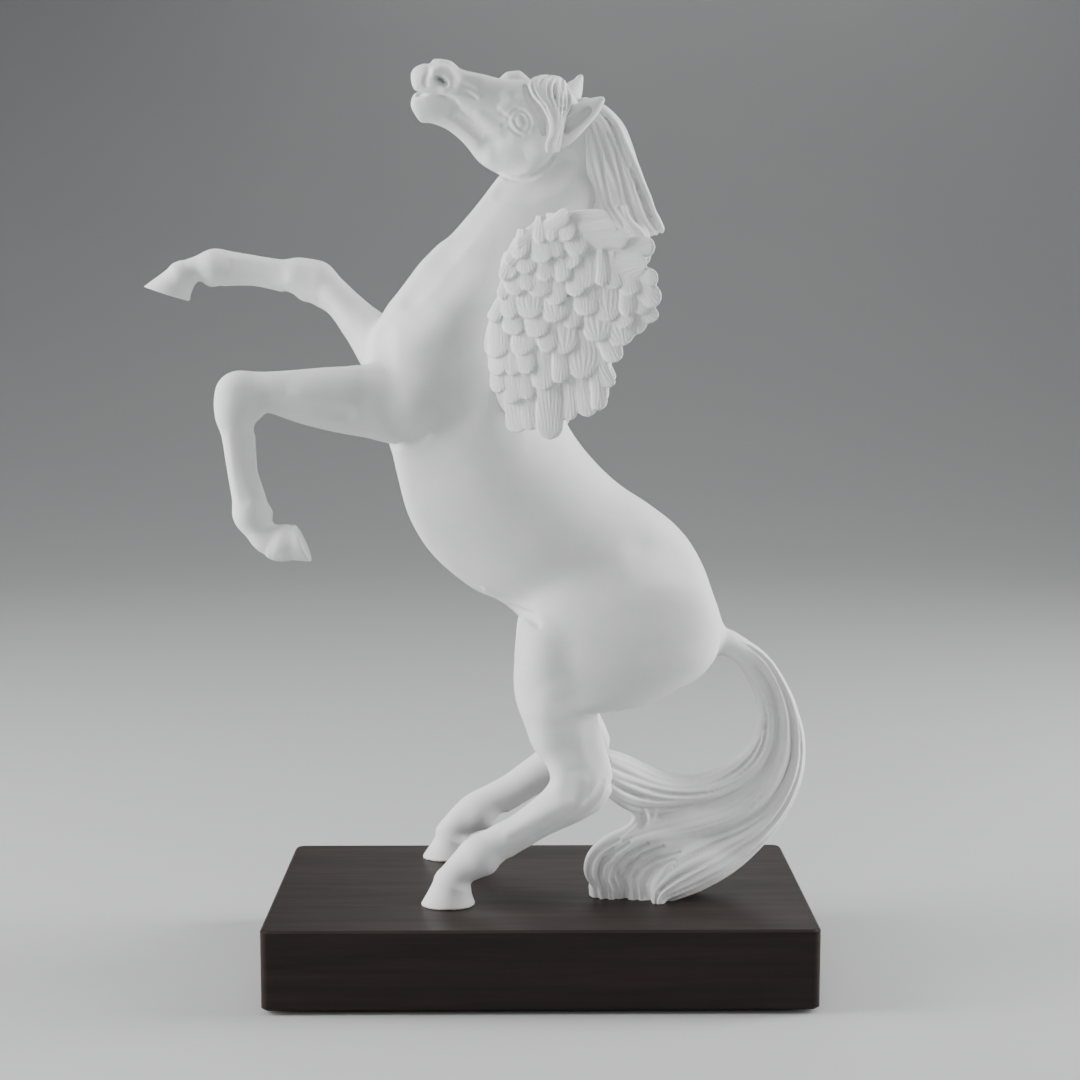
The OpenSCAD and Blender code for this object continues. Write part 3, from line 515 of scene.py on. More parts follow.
    def touch(self, marks):
        """Marks [x, z, radius] made on the horse's near side, as seen from the front."""
        out = []
        for m in marks:
            ray = np.array([m[0], MID_Y, m[1]]) - EYE
            line = EYE + ray * ((LOOKED_THROUGH - EYE[1]) / ray[1])[:, None]
            inside = np.nonzero(self.sample(line) < 0)[0]
            if len(inside):
                out.append([*line[inside[0]], m[2]])
        return np.array(out)

    def skin(self):
        """The clay's surface as points, four-sided faces and the points' normals."""
        grid = vdb.FloatGrid(BAND)
        grid.transform = vdb.createLinearTransform(voxelSize=self.voxel)
        grid.copyFromArray(self.d, ijk=tuple(int(i) for i in self.start))
        return grid.convertToQuads(isovalue=0.0)

    def normals(self, points):
        step = 0.7 * self.voxel
        slope = np.stack([self.sample(points + step * e) - self.sample(points - step * e)
                          for e in np.eye(3)], 1)
        return slope / np.maximum(np.linalg.norm(slope, axis=1, keepdims=True), 1e-9)


def cad_skin(*nodes):
    """CAD nodes as one closed skin in millimetres."""
    shapes = []
    for n in nodes:
        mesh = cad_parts[n].data
        mesh.calc_loop_triangles()
        points = np.zeros(len(mesh.vertices) * 3)
        mesh.vertices.foreach_get("co", points)
        faces = np.zeros(len(mesh.loop_triangles) * 3, int)
        mesh.loop_triangles.foreach_get("vertices", faces)
        shapes.append((points.reshape(-1, 3) / MM, faces.reshape(-1, 3)))
    return together(shapes)


def split_at(mesh, planes):
    """Cuts the mesh at each seam [point, side to drop, lowest z] and closes it flat."""
    bm = bmesh.new()
    bm.from_mesh(mesh)
    for f in bm.faces:
        f.smooth = True
    for place, drop, floor in planes:
        geometry = [g for g in bm.verts if g.co.z > floor]
        geometry += [g for g in bm.edges[:] + bm.faces[:] if min(v.co.z for v in g.verts) > floor]
        made = bmesh.ops.bisect_plane(bm, geom=geometry, plane_co=place, plane_no=drop,
                                      dist=1e-7, clear_outer=True)
        edges = [e for e in made["geom_cut"] if isinstance(e, bmesh.types.BMEdge)]
        filled = bmesh.ops.triangle_fill(bm, edges=edges, use_beauty=True, normal=drop)
        for f in filled["geom"]:
            if isinstance(f, bmesh.types.BMFace):
                f.smooth = False
    bm.to_mesh(mesh)
    bm.free()


def piece_from(clay, name, planes=()):
    """The clay as a mesh piece whose shading follows the clay's own slope."""
    points, quads = clay.skin()
    a, b, c = (points[quads[:, i]] for i in (0, 1, 2))
    outward = np.cross(b - a, c - a)
    if (outward * clay.normals(points[quads[:, 0]].astype(float))).sum() < 0:
        quads = quads[:, ::-1]
    mesh = bpy.data.meshes.new(name)
    mesh.vertices.add(len(points))
    mesh.vertices.foreach_set("co", (points * MM).ravel())
    mesh.loops.add(quads.size)
    mesh.loops.foreach_set("vertex_index", np.ascontiguousarray(quads).ravel().astype(np.int32))
    mesh.polygons.add(len(quads))
    mesh.polygons.foreach_set("loop_start", np.arange(0, quads.size, 4, dtype=np.int32))
    mesh.update(calc_edges=True)
    mesh.validate()
    split_at(mesh, [([v * MM for v in at], drop, floor[0] * MM if floor else -1)
                    for at, drop, *floor in planes])
    corners = np.zeros(len(mesh.vertices) * 3)
    mesh.vertices.foreach_get("co", corners)
    slopes = clay.normals(corners.reshape(-1, 3) / MM)
    used = np.zeros(len(mesh.loops), int)
    mesh.loops.foreach_get("vertex_index", used)
    shading = slopes[used]
    flat = np.zeros(len(mesh.loops), bool)
    for p in mesh.polygons:
        if not p.use_smooth:
            flat[p.loop_start:p.loop_start + p.loop_total] = True
    shading[flat] = 0
    mesh.normals_split_custom_set(shading.tolist())
    obj = bpy.data.objects.new(name, mesh)
    bpy.context.scene.collection.objects.link(obj)
    return obj


def place(obj, node, slot, material):
    """The piece stands for the CAD node and takes its finish."""
    obj.data.materials.clear()
    obj.data.materials.append(material)
    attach(obj, "root")
    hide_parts(node)


def figure(clay):
    """Trunk, legs and neck as one smooth body."""
    clay.join(loft(TRUNK, 64))
    clay.join(loft(THIGH, full=0.8), 7)
    clay.join(loft(far_hind(THIGH), full=0.8), 7)
    clay.join(loft(NEAR_FORELEG), 6)
    clay.join(loft(FAR_FORELEG), 6)
    shoulders(clay)
    clay.soften(1.2)
    hind_leg_forms(clay)
    foreleg_forms(clay)
    trunk_forms(clay)
    hooves(clay)


def on_skin(clay, marks, height, way=-1):
    """Links for marks as seen: rolls stand height proud of the skin, grooves (way 1) sink it."""
    links = clay.touch(marks)
    if len(links):
        links[:, :3] += way * clay.normals(links[:, :3]) * (links[:, 3:] - height)
    return links


def both_sides(clay, stroke, links, *rest):
    stroke(clay, links, *rest)
    stroke(clay, to_far(links), *rest)


def shoulders(clay):
    for links in ([[-22, -4, 258, 7], [-34, -7, 245, 10], [-44, -8, 232, 11.5],
                   [-44, -9, 216, 11]],
                  [[-36, 1, 258, 8], [-45, 0, 244, 11], [-50, -1, 231, 13]]):
        both_sides(clay, Clay.add, links, 8)


def hind_leg_forms(clay):
    """Gaskin, hollow before the tendon, hock, cannon groove and fetlock, near then far."""
    for shift, far in ((0, False), (-1.5, True)):
        def at(links, slide=0.0):
            p = np.array(links, float)
            p[:, 0] += shift * slide
            if far:
                p = to_far(p)
                p[:, 1] += FAR_LEG_OUT
            return p
        clay.add(at([[3.4, -15, 127, 9], [3.6, -16, 116, 10.2], [5, -17.4, 105, 10.6],
                     [6.5, -19, 96, 9.4]]), 5.9)
        clay.swell(at([[8.5, -30, 106, 9], [8, -30.5, 97, 9], [8, -30.5, 87, 7]]), -0.6)
        clay.swell(at([[16, -12, 104, 6], [17, -13, 95, 6], [18.5, -15, 86, 5]]), -0.8)
        clay.add(at([[18, -21, 99, 2.4], [19.6, -22.6, 93, 2.8], [22, -23, 85, 2.8]]), 4)
        clay.add(at([[23.2, -22.8, 80, 3]]), 3)
        clay.swell(at([[7, -30, 84, 7], [6.5, -30.5, 78, 7]]), 0.8)
        clay.swell(at([[14, -31, 79, 5], [13, -31, 72, 5]]), 0.5)
        clay.swell(at([[23.5, -30, 78, 2.6], [20.5, -30.5, 72.5, 3], [16.5, -30.5, 68.5, 3],
                       [8, -30, 62.5, 2.6], [-2, -29.5, 57.5, 1.4]]), -1)
        clay.add(at([[24.3, -24, 74, 1.6], [21, -24, 68.6, 1.8], [12, -24, 63.6, 1.8],
                     [0, -24, 58.2, 1.7], [-11, -24, 51.4, 1.6]], 1), 2.5)
        clay.swell(at([[8, -30.5, 71, 4], [-1, -29.8, 66, 3.6], [-12, -29.5, 59.5, 3]], 1), 0.4)
        clay.add(at([[-22.5, -24, 49.5, 5.8]], 1), 4)
        clay.add(at([[-19.3, -24, 45.4, 2.2]], 1), 3)


def foreleg_forms(clay):
    """Forearm muscle, knee, cannon grooves, tendons and fetlocks."""
    clay.swell([[-70, -25, 222, 10], [-84, -26, 221, 8]], 0.8)
    clay.swell([[-70, -26, 213, 5], [-84, -27.5, 215.5, 5], [-97, -28, 217.5, 4]], -0.7)
    clay.add([[-110, -23.5, 221, 5], [-110.5, -23, 212.5, 4.7]], 5)
    clay.add([[-102.5, -23, 213.5, 2.2]], 3)
    clay.swell([[-108.5, -28.5, 204, 3.4], [-108, -28.5, 190, 3.4], [-106, -28.5, 182, 3]], -0.4)
    clay.swell([[-108.5, -17.5, 204, 3.4], [-108, -17.5, 190, 3.4], [-106, -17.5, 182, 3]], -0.4)
    clay.add([[-104.6, -23, 204, 1.4], [-104, -23, 192, 1.4], [-101.5, -23, 182, 1.6]], 3)
    clay.add([[-105.5, -23, 176.5, 4.8]], 4)
    clay.add([[-99.8, -23, 177, 2.4]], 3)
    clay.swell([[-72, 23.5, 246, 9], [-80, 23.5, 254, 7]], 0.8)
    clay.swell([[-68, 21, 237, 5], [-76, 22, 245.5, 5], [-84, 24, 253, 4]], -0.7)
    clay.add([[-86, 30, 263, 5.4], [-92, 30, 264.5, 5]], 5)
    clay.add([[-90.5, 30, 256.8, 2.2]], 3)
    clay.swell([[-98, 25, 264, 3.4], [-108, 25, 266.5, 3.4], [-118, 25, 268, 3]], -0.4)
    clay.swell([[-98, 35, 264, 3.4], [-108, 35, 266.5, 3.4], [-118, 35, 268, 3]], -0.4)
    clay.add([[-100, 30, 259.5, 1.4], [-110, 30, 261.8, 1.4], [-121, 30, 262, 1.6]], 3)
    clay.add([[-125, 30, 267.3, 5]], 4)
    clay.add([[-126.5, 30, 262.3, 2.2]], 3)


def trunk_forms(clay):
    """Muscles and folds of the trunk, alike on both sides, and the groove down the breast."""
    neck_forms(clay)
    for links, height in (
            ([[-45, -21, 216, 12]], 1.1),
            ([[-30, -22, 213, 11], [-27, -22, 230, 11], [-22, -20, 246, 10]], -0.9),
            ([[-56, -10, 240, 7], [-53, -16, 226, 7]], -0.9),
            ([[40, -17, 160, 13], [47, -13, 157, 13]], -1.2),
            ([[43, -12, 174, 13]], 0.5), ([[-2, -27, 124, 12]], 0.9)):
        both_sides(clay, Clay.swell, links, height)
    flank = clay.touch([[-20, 144.5, 3], [-13, 141.5, 3], [-7, 138.5, 2.6], [-3, 135, 2.2]])
    fold = clay.touch([[-11, 138.2, 0.5], [-7, 136.6, 1.3], [-3.4, 134.4, 1.7],
                       [-0.6, 131.4, 0.9]])
    armpit = clay.touch([[-55, 199.4, 1], [-51, 199.4, 2.2], [-46.5, 200.4, 2.2],
                         [-42, 203, 1]])
    for links, stroke, amount in ((flank, Clay.swell, 1.1), (fold, Clay.cut, 2),
                                  (armpit, Clay.cut, 1.2)):
        if len(links):
            both_sides(clay, stroke, links, amount)
    clay.swell([[-60, 6, 248, 5], [-65, 6, 236, 5], [-66, 6, 224, 5], [-60, 6, 210, 5]], -1.1)


def neck_forms(clay):
    """Windpipe groove, the throat under the jowl, and the dock where the tail leaves the rump."""
    both_sides(clay, Clay.swell, [[-6, 0, 306, 5], [-18, -2, 292, 6], [-32, -5, 274, 7],
                                  [-46, -8, 254, 7]], -0.8)
    both_sides(clay, Clay.swell, [[-13, -1, 294, 6], [-4, -2.5, 294.5, 7], [5, -1.5, 298, 7],
                                  [10, 1, 304, 6]], -1.2)
    dock(clay)


def dock(clay):
    clay.add([[56, 6, 129, 8], [64, 6, 126.3, 5], [72, 6, 123.8, 4.2], [80, 6, 119, 3.6]], 5.9)


def hoof(front, heel, toe, sole_heel, width_top, width_sole, y):
    """A hoof from its coronet to its sole, each given as front and back corners."""
    rows = []
    for t, puff in ((-0.15, -0.9), (0, -0.1), (0.12, 0), (0.5, -0.1), (0.95, 0), (1, -0.4)):
        f = np.array(front) + (np.array(toe) - front) * t
        h = np.array(heel) + (np.array(sole_heel) - heel) * t
        out = (f - h) / np.linalg.norm(f - h) * puff
        w = width_top + (width_sole - width_top) * t + puff
        rows.append([*(f + out), *(h - out), w, y])
    return loft(rows, 40, 3)


def hooves(clay):
    clay.join(hoof((-38.8, 41.2), (-26, 37), (-44.3, 31), (-24, 31), 6.2, 8.1, -24), 3)
    clay.join(hoof((-40.6, 41.2), (-27.8, 37), (-47.2, 31), (-26.9, 31), 6.2, 8.1, 38), 3)
    clay.join(hoof((-97, 160), (-92.6, 172), (-83, 159.2), (-88.9, 172.6), 6.1, 7.4, -23), 2.5)
    clay.join(hoof((-140.5, 268.2), (-134, 260.3), (-152.5, 259.5), (-135, 253.9), 6, 7.4, 30),
              2.5)


# Near side of the face as seen from the front: [x, z, radius], height or depth, and melt
FACE_ROLLS = [
    ([[-17.5, 305.8, 5.4], [-11.5, 304, 6.4], [-4.5, 304.4, 6.6], [0.5, 308, 5.4]], 1.5, 2.5),
    ([[-38.8, 337.6, 1.1], [-36.6, 338.9, 1.3], [-33.6, 338, 1.5], [-32, 335.2, 1.5],
      [-32.6, 332.2, 1.4], [-35, 330.9, 1.1]], 0.8, 2),
    ([[-7.5, 320.5, 2.2], [-6.9, 318.8, 2.2]], 0.7, 0.3),
    ([[-10.4, 320.3, 0.8], [-9.2, 322.4, 0.8], [-7, 323, 0.8], [-5, 321.9, 0.8], [-4, 319.6, 0.8],
      [-4.3, 317.3, 0.8], [-5.6, 315.9, 0.8], [-7.4, 316.1, 0.8], [-9.1, 317.6, 0.8],
      [-10.4, 320.3, 0.8]], 0.6, 0.4),
    ([[-12.2, 321, 0.9], [-10.6, 323.6, 1], [-8, 324.9, 1], [-5.2, 324.3, 1], [-3, 322.2, 1],
      [-2.1, 319, 1], [-2.9, 316, 0.9]], 0.5, 0.8),
    ([[-27.6, 332.6, 0.9], [-24.6, 331, 0.9], [-22.2, 328.6, 0.8]], 0.4, 0.8),
    ([[-46, 327, 1.4], [-42, 328, 1.4], [-37, 327.9, 1.3], [-33, 327, 1.2]], 0.4, 1.5)]
FACE_CUTS = [
    ([[-37.5, 335.3, 1.1], [-36.2, 334.3, 1.6], [-34.8, 333.3, 1.2]], 1.6, 0.6),
    ([[-36.8, 334.8, 1.2], [-35.6, 333.9, 1.2]], 2.4, 0.3),
    ([[-41.2, 339, 0.8], [-40.8, 337.6, 0.7], [-42, 335, 0.8], [-42, 332.4, 0.7]], 0.3, 1.2),
    ([[-46.6, 329.7, 1.3], [-44.6, 329.4, 1.1], [-42, 329.4, 0.8], [-38, 329.5, 0.6],
      [-34, 329.5, 0.5], [-30, 330, 0.45], [-28, 330.8, 0.35]], 1.2, 0.4),
    ([[-31.4, 327.4, 0.8], [-30.8, 324, 0.9], [-32.4, 321, 0.8]], 0.45, 1.4),
    ([[-26.4, 329.6, 0.7], [-23.6, 328, 0.6]], 0.35, 0.6),
    ([[-14, 322.6, 0.8], [-12.6, 321.4, 0.8], [-11.4, 320.6, 0.6]], 0.35, 0.8),
    ([[-13.4, 318.2, 0.8], [-11.6, 318.8, 0.6]], 0.3, 0.8),
    ([[-11.2, 317.6, 0.5], [-9.2, 315.6, 0.6], [-6.6, 314.4, 0.5]], 0.35, 0.5),
    ([[-5.2, 332.5, 1.1], [-4, 328.6, 1.5], [-1, 324.4, 1.6], [1.2, 319.8, 1.6],
      [1.6, 315, 1.1]], 2.3, 0.8),
    ([[-16, 301, 0.6], [-14, 300, 0.8], [-11, 298.9, 1], [-7.5, 298.5, 1.2], [-3.5, 299.2, 1.3],
      [0, 301.2, 1.3], [3, 304, 1.1], [5.5, 307, 0.8]], 1.1, 1)]
FACE_SWELLS = [
    ([[-13, 324.5, 3], [-10, 326.8, 3], [-6, 327, 3], [-2.4, 324.6, 3], [-0.6, 320.5, 2.6]], 0.9),
    ([[-15, 316, 4], [-22, 321.5, 3.4]], 0.6), ([[-12, 329, 3]], 0.5),
    ([[-30, 320.5, 2.4], [-26, 317.5, 2.8], [-22.5, 314.5, 2.4]], -0.8),
    ([[-28, 334.5, 2.5], [-23, 333.5, 3]], -0.5),
    ([[-20, 311.5, 4], [-13, 313.5, 4]], -0.6),
    ([[-13, 305.5, 8], [-5, 305, 9], [0, 308.5, 8]], 1.1)]


def head(clay):
    """Head and the top of the neck."""
    clay.join(loft(TRUNK, 64))
    clay.soften(1.2)
    neck_forms(clay)
    for stations, melt in ((SKULL, 1.5), (JAW, 1.0)):
        points, faces = loft(stations)
        clay.join((lean(points), faces), melt)
    clay.soften(0.5)
    for marks, height in FACE_SWELLS:
        on_both_cheeks(clay, Clay.swell, clay.touch(marks), height)
    for marks, height, melt in FACE_ROLLS:
        on_both_cheeks(clay, Clay.add, on_skin(clay, marks, height), melt)
    for marks, depth, melt in FACE_CUTS:
        on_both_cheeks(clay, Clay.cut, on_skin(clay, marks, depth, 1), melt)
    clay.cut(lips_apart([[-48.8, 2.3], [-45.8, 1.4], [-43.4, 0.8]]), 0.4)
    clay.add([[-14, 3, 332.5, 2.2], [-11, 3, 334.5, 2.7], [-8, 3, 334.8, 2.7],
              [-5, 3.2, 333, 2.2]], 2)
    clay.soften(0.22)


def on_both_cheeks(clay, stroke, links, amount):
    stroke(clay, links, amount)
    stroke(clay, across_head(links), amount)


def lips_apart(marks):
    """The gap at the front of the mouth, right across it."""
    links = []
    for x, radius in marks:
        for y in (0, 12):
            links.append([*lean([[x, y, MOUTH_Z]])[0], radius])
    return links


def ears(clay, name):
    """The near ear opens towards the front; the far one shows over the poll."""
    if name == "left_ear":
        clay.join(sweep([[5.5, 0, 311, 3.6, 3.2], [8.8, -2.5, 314.8, 5, 4],
                         [12.4, -4.5, 318.6, 5.2, 4], [16.8, -6.3, 321.7, 4.2, 3.1],
                         [20.7, -7.6, 324.4, 2.6, 2], [23.3, -8.2, 326.4, 0.8, 0.8]], 32))
        clay.cut(on_skin(clay, [[9.8, 316, 1.3], [12, 319, 2.1], [14.8, 321.2, 2.1],
                                [17.8, 323.4, 1.5], [20.4, 325.1, 0.8]], 2.7, 1), 0.4)
        clay.cut(on_skin(clay, [[12.4, 317.6, 0.5], [15.6, 320.2, 0.6], [18.6, 322.6, 0.4]],
                         0.5, 1), 0.3)
    else:
        clay.join(sweep([[8, 2.5, 325, 4, 3.4], [10.5, 4.6, 328.5, 4.8, 3.8],
                         [12.8, 6.4, 332, 3.6, 3], [14.8, 7.6, 335, 1.7, 1.6],
                         [15.7, 8, 336.8, 0.6, 0.6]], 32))
        clay.cut([[7.5, 3.6, 329.8, 2], [10.6, 5.6, 333, 1.6], [13, 7, 335, 0.8]], 0.6)
    clay.soften(0.3)


def mane(clay):
    clay.join(loft(MANE))
    clay.join(sheaf(MANE_FRONT, MANE_BACK, 8, 4, 3), 0.3)
    clay.join(sheaf(MANE_TIP_FRONT, MANE_TIP_BACK, 4, 3, 4), 0.3)
    for marks in ([[33.5, 303, 0.4], [35.2, 299, 0.9], [36.6, 294.5, 0.5]],
                  [[37.2, 292.5, 0.5], [39.4, 288.5, 1.0], [41.8, 284.5, 0.5]],
                  [[25, 316, 0.4], [28.5, 309, 0.7], [31, 300, 0.6], [33, 291, 0.7],
                   [36, 283, 0.5]],
                  [[19, 318, 0.4], [22.5, 309, 0.7], [24, 299, 0.6], [26, 290, 0.7],
                   [31, 281, 0.5]]):
        clay.cut(on_skin(clay, marks, 1.1, 1), 0.4)
    clay.soften(0.22)


def forelock(clay, skull):
    """The forelock lies on the brow, so its depth is taken from the head."""
    guides = []
    for line in (FORELOCK_LEFT, FORELOCK_RIGHT):
        rows = []
        for x, z in line:
            at = skull.touch([[x, z, 0]])
            rows.append([x, z, (at[0][1] if len(at) else 0) - 0.6, 3])
        rows[-1][3] = 1.8
        guides.append(rows)
    clay.join(sheaf(*guides, 12, 1, 6), 0.35)
    clay.soften(0.18)


def tail(clay):
    clay.join(loft(TAIL))
    dock(clay)
    for links in ([[56, -5, 54, 8], [44, -9, 49.5, 8], [34, -10.5, 46.5, 7.5],
                   [26.5, -11.5, 41.5, 6.5], [25, -12.5, 34, 6.5], [25.5, -12.5, 25, 6.5]],
                  [[56, -7, 42, 8], [46, -11, 39, 8], [38, -12.5, 33, 8], [37, -12.5, 25, 8]],
                  [[41, -8, 60.5, 3], [46, -6, 61, 4.6], [54, -3, 61, 6]]):
        clay.add(links, 3)
    clay.join(sheaf(TAIL_INNER, TAIL_MIDDLE + TRESS_LOWER, 8, 3, 11, 0), 0.4)
    clay.join(sheaf(TAIL_MIDDLE + TUFT_UPPER, TAIL_OUTER + TUFT_LOWER, 9, 3, 12, 0), 0.4)
    clay.join(sheaf(TAIL_OUTER + LOCK_UPPER, TAIL_EDGE, 7, 4, 13, 0), 0.4)
    clay.join(sheaf(HOLLOW_UPPER, HOLLOW_LOWER, 5, 3, 14, 0), 0.4)
    clay.join(sheaf(WEB_LEFT, WEB_RIGHT, 6, 2, 15, 0), 0.4)
    for marks in TUFT_GROOVES:
        clay.cut(on_skin(clay, marks, 1.2, 1), 0.6)
    clay.soften(0.22)


def wing_depth(x):
    """The Y of the wing's middle at x: it stands further out towards its trailing edge."""
    across = (x - WING_FRONT_X) / (WING_BACK_X - WING_FRONT_X)
    return WING_FRONT_Y - WING_FLARE * np.clip(across, 0, 1) ** 0.55


def feather(row, out, level, seed):
    """A crowned feather with barbs, its tip over the next row. out is -1 on the outer face."""
    rng = np.random.default_rng(seed)
    x0, z0, x1, z1, width = row
    rows, columns = 31, 17
    u = np.linspace(0, 1, rows)[:, None]
    v = np.linspace(-1, 1, columns)[None, :]
    length = math.hypot(x1 - x0, z1 - z0)
    dx, dz = (x1 - x0) / length, (z1 - z0) / length
    rounded = 0.55 * width / length
    tip = np.clip((u - 1 + rounded) / rounded, 0, 1)
    half = width / 2 * (0.62 + 0.38 * np.sin(np.minimum(u * 1.7, 1) * math.pi / 2))
    half = half * np.sqrt(np.clip(1 - tip ** rng.uniform(1.9, 2.6), 0, 1))
    bend = rng.uniform(-0.09, 0.09) * length
    aside = half * v + bend * np.sin(math.pi * u)
    x = x0 + dx * length * u - dz * aside
    z = z0 + dz * length * u + dx * aside
    barbs = np.sin(2 * math.pi * (half * np.abs(v) / 0.95 * (1 - 0.25 * u) - 0.06 * u * length))
    rise = level + 0.2 + 1.9 * u ** 1.3 + 0.5 * (1 - np.abs(v) ** 3)
    rise = rise + 0.2 * np.exp(-(v * half / 0.4) ** 2) * (1 - u) + 0.15 * barbs
    rise = rise + rng.uniform(-0.3, 0.3) + rng.uniform(-0.3, 0.3) * v
    top, bottom = [], []
    for i, j in np.ndindex(rows, columns):
        p = seen(x[i, j], z[i, j], wing_depth(x[i, j]), MID_Y)
        top.append([p[0], p[1] + out * (2.2 + rise[i, j]), p[2]])
        bottom.append([p[0], p[1] + out * 0.5, p[2]])
    n = rows * columns
    at = np.arange(n).reshape(rows, columns)
    faces = []
    for a, b, c, d in zip(*(k.ravel() for k in (at[:-1, :-1], at[:-1, 1:], at[1:, 1:],
                                                at[1:, :-1]))):
        faces += [[a, b, c], [a, c, d], [n + a, n + c, n + b], [n + a, n + d, n + c]]
    rim = [*at[0, :-1], *at[:-1, -1], *at[-1, :0:-1], *at[:0:-1, 0]]
    for a, b in zip(rim, rim[1:] + rim[:1]):
        faces += [[a, b, n + b], [a, n + b, n + a]]
    return np.array(top + bottom), np.array(faces)


def wing(clay, far):
    """A short wing: a thick root on the shoulder, a plate, and rows of feathers on it."""
    def side(points):
        if far:
            points = to_far(points)
            points[:, 0] += FAR_WING_BACK
        return points

    points, faces = loft(WING_PLATE)
    points[:, 1] += wing_depth(points[:, 0])
    clay.join((side(points), faces))
    for links in ([[-13, -15, 226, 4.5], [-14, -15, 240, 5], [-10, -15.5, 254, 5.5],
                   [-5, -16, 266, 5], [4, -18, 272, 4.5]],
                  [[-6, -14, 232, 7], [-2, -15.5, 246, 7.5], [2, -16.5, 258, 7]]):
        clay.add(side(np.array(links, float)), 3)
    clay.soften(0.5)
    tiles = [feather(f, -1, 0.5 * (i % 3), 50 + i) for i, f in enumerate(LONG_FEATHERS)]
    tiles += [feather(f, -1, 0.7, 90 + i) for i, f in enumerate(FEATHERS)]
    tiles += [feather(f, 1, -0.6, 160 + i) for i, f in enumerate(INNER_FEATHERS)]
    points, faces = together(tiles)
    clay.join((side(points), faces), 0.2)
    clay.soften(0.15)


def bore(clay, *nodes):
    """Sockets for steel fixings that run through the clay."""
    clay.carve(cad_skin(*nodes), GAP)


def cast(clay, node, planes=()):
    """The clay becomes the piece that is seen for the CAD node."""
    place(piece_from(clay, node + "_visual", planes), node, "casting", white)


def body_casting():
    body = Clay((-75, -38, 88), (78, 50, 300), 0.85)
    figure(body)
    bore(body, "left_leg_rod", "right_leg_rod", "foreleg_dowels", "wing_pegs", "neck_dowel",
         "tail_dowel")
    cast(body, "body_casting", [((0, 0, NECK_SEAM_Z), (0, 0, 1)), ((0, 0, HIP_SEAM_Z), (0, 0, -1)),
                                ((ELBOW_SEAM_X, 0, 0), (-1, 0, 0)), (TAIL_SEAM, TAIL_RUN)])
    return body


def legs():
    """The four legs from the same figure, each cut off at its seam. Gives the near hind one."""
    hip, elbow = ((0, 0, HIP_SEAM_Z), (0, 0, 1)), ((ELBOW_SEAM_X, 0, 0), (1, 0, 0))
    lumps = []
    for node, low, high, plane, steel_in in (
            ("left_hind_leg", (-52, -42, 25), (34, -6, 104), hip, "left_leg_rod"),
            ("right_hind_leg", (-54, 18, 25), (34, 54, 104), hip, "right_leg_rod"),
            ("left_foreleg", (-124, -36, 150), (-58, 4, 238), elbow, "foreleg_dowels"),
            ("right_foreleg", (-160, 12, 220), (-58, 44, 282), elbow, "foreleg_dowels")):
        clay = Clay(low, high, 0.5)
        figure(clay)
        bore(clay, steel_in)
        cast(clay, node, [plane])
        lumps.append(clay)
    return lumps[0]


def head_and_hair(body):
    """Head, ears, forelock and mane. What sits on the head ends at its skin."""
    skull = Clay((-56, -22, 284), (34, 34, 352), 0.4)
    head(skull)
    bore(skull, "neck_dowel")
    cast(skull, "head_casting", [((0, 0, NECK_SEAM_Z), (0, 0, -1))])
    for node, low, high in (("left_ear", (0, -16, 302), (28, 6, 332)),
                            ("right_ear", (0, -2, 316), (22, 14, 342))):
        clay = Clay(low, high, 0.35)
        ears(clay, node)
        without(clay, skull)
        cast(clay, node)
    clay = Clay((-12, -24, 300), (18, 8, 342), 0.35)
    forelock(clay, skull)
    without(clay, skull)
    cast(clay, "forelock")
    clay = Clay((6, -14, 264), (52, 18, 334), 0.4)
    mane(clay)
    without(clay, skull)
    without(clay, body)
    cast(clay, "mane")


def wings(body):
    for node, low, high, far in (("left_wing", (-26, -42, 196), (50, -4, 294), False),
                                 ("right_wing", (-22, 16, 196), (54, 54, 294), True)):
        clay = Clay(low, high, 0.4)
        wing(clay, far)
        without(clay, body)
        bore(clay, "wing_pegs")
        cast(clay, node)


def tail_casting(body, near_hind_leg):
    clay = Clay((8, -32, 24), (108, 20, 140), 0.45)
    tail(clay)
    behind_seam(clay, body)
    without(clay, near_hind_leg)
    bore(clay, "tail_dowel", "tail_stud")
    before_seam = tuple(-v for v in TAIL_RUN)
    cast(clay, "tail", [((0, 0, SOLE_Z), (0, 0, -1)), (TAIL_SEAM, before_seam, TAIL_ROOT_Z)])


def beside(clay, other):
    """The part of one lump's box that another's covers, and the other's distances there."""
    points = [(np.arange(n) + o) * clay.voxel for n, o in zip(clay.shape, clay.start)]
    olow, ohigh = other.start * other.voxel, (other.start + other.shape - 1) * other.voxel
    inside = [(p >= a) & (p <= b) for p, a, b in zip(points, olow, ohigh)]
    if not all(k.any() for k in inside):
        return None, None
    part = tuple(slice(int(np.argmax(k)), int(len(k) - np.argmax(k[::-1]))) for k in inside)
    grid = np.stack(np.meshgrid(*[p[s] for p, s in zip(points, part)], indexing="ij"), -1)
    return part, other.sample(grid.reshape(-1, 3)).reshape(grid.shape[:3]).astype(np.float32)


def without(clay, other):
    """Takes away what another lump of clay fills, so that the two only touch."""
    part, field = beside(clay, other)
    if part is not None:
        clay.d[part] = np.maximum(clay.d[part], -field)


def behind_seam(clay, other):
    """Carries the body's skin a little over the tail seam, and ends the tail there."""
    axes = [(np.arange(n) + o) * clay.voxel for n, o in zip(clay.shape, clay.start)]
    x, _, z = np.meshgrid(*axes, indexing="ij", sparse=True)
    ahead = (x - TAIL_SEAM[0]) * TAIL_RUN[0] + (z - TAIL_SEAM[2]) * TAIL_RUN[2]
    behind = np.broadcast_to(-TAIL_OVERLAP - ahead, clay.d.shape)
    part, field = beside(clay, other)
    clay.d[part] = np.minimum(clay.d[part], np.maximum(field, behind[part]))
    clay.d = np.where(z > TAIL_TOP_Z, np.maximum(clay.d, behind), clay.d).astype(np.float32)


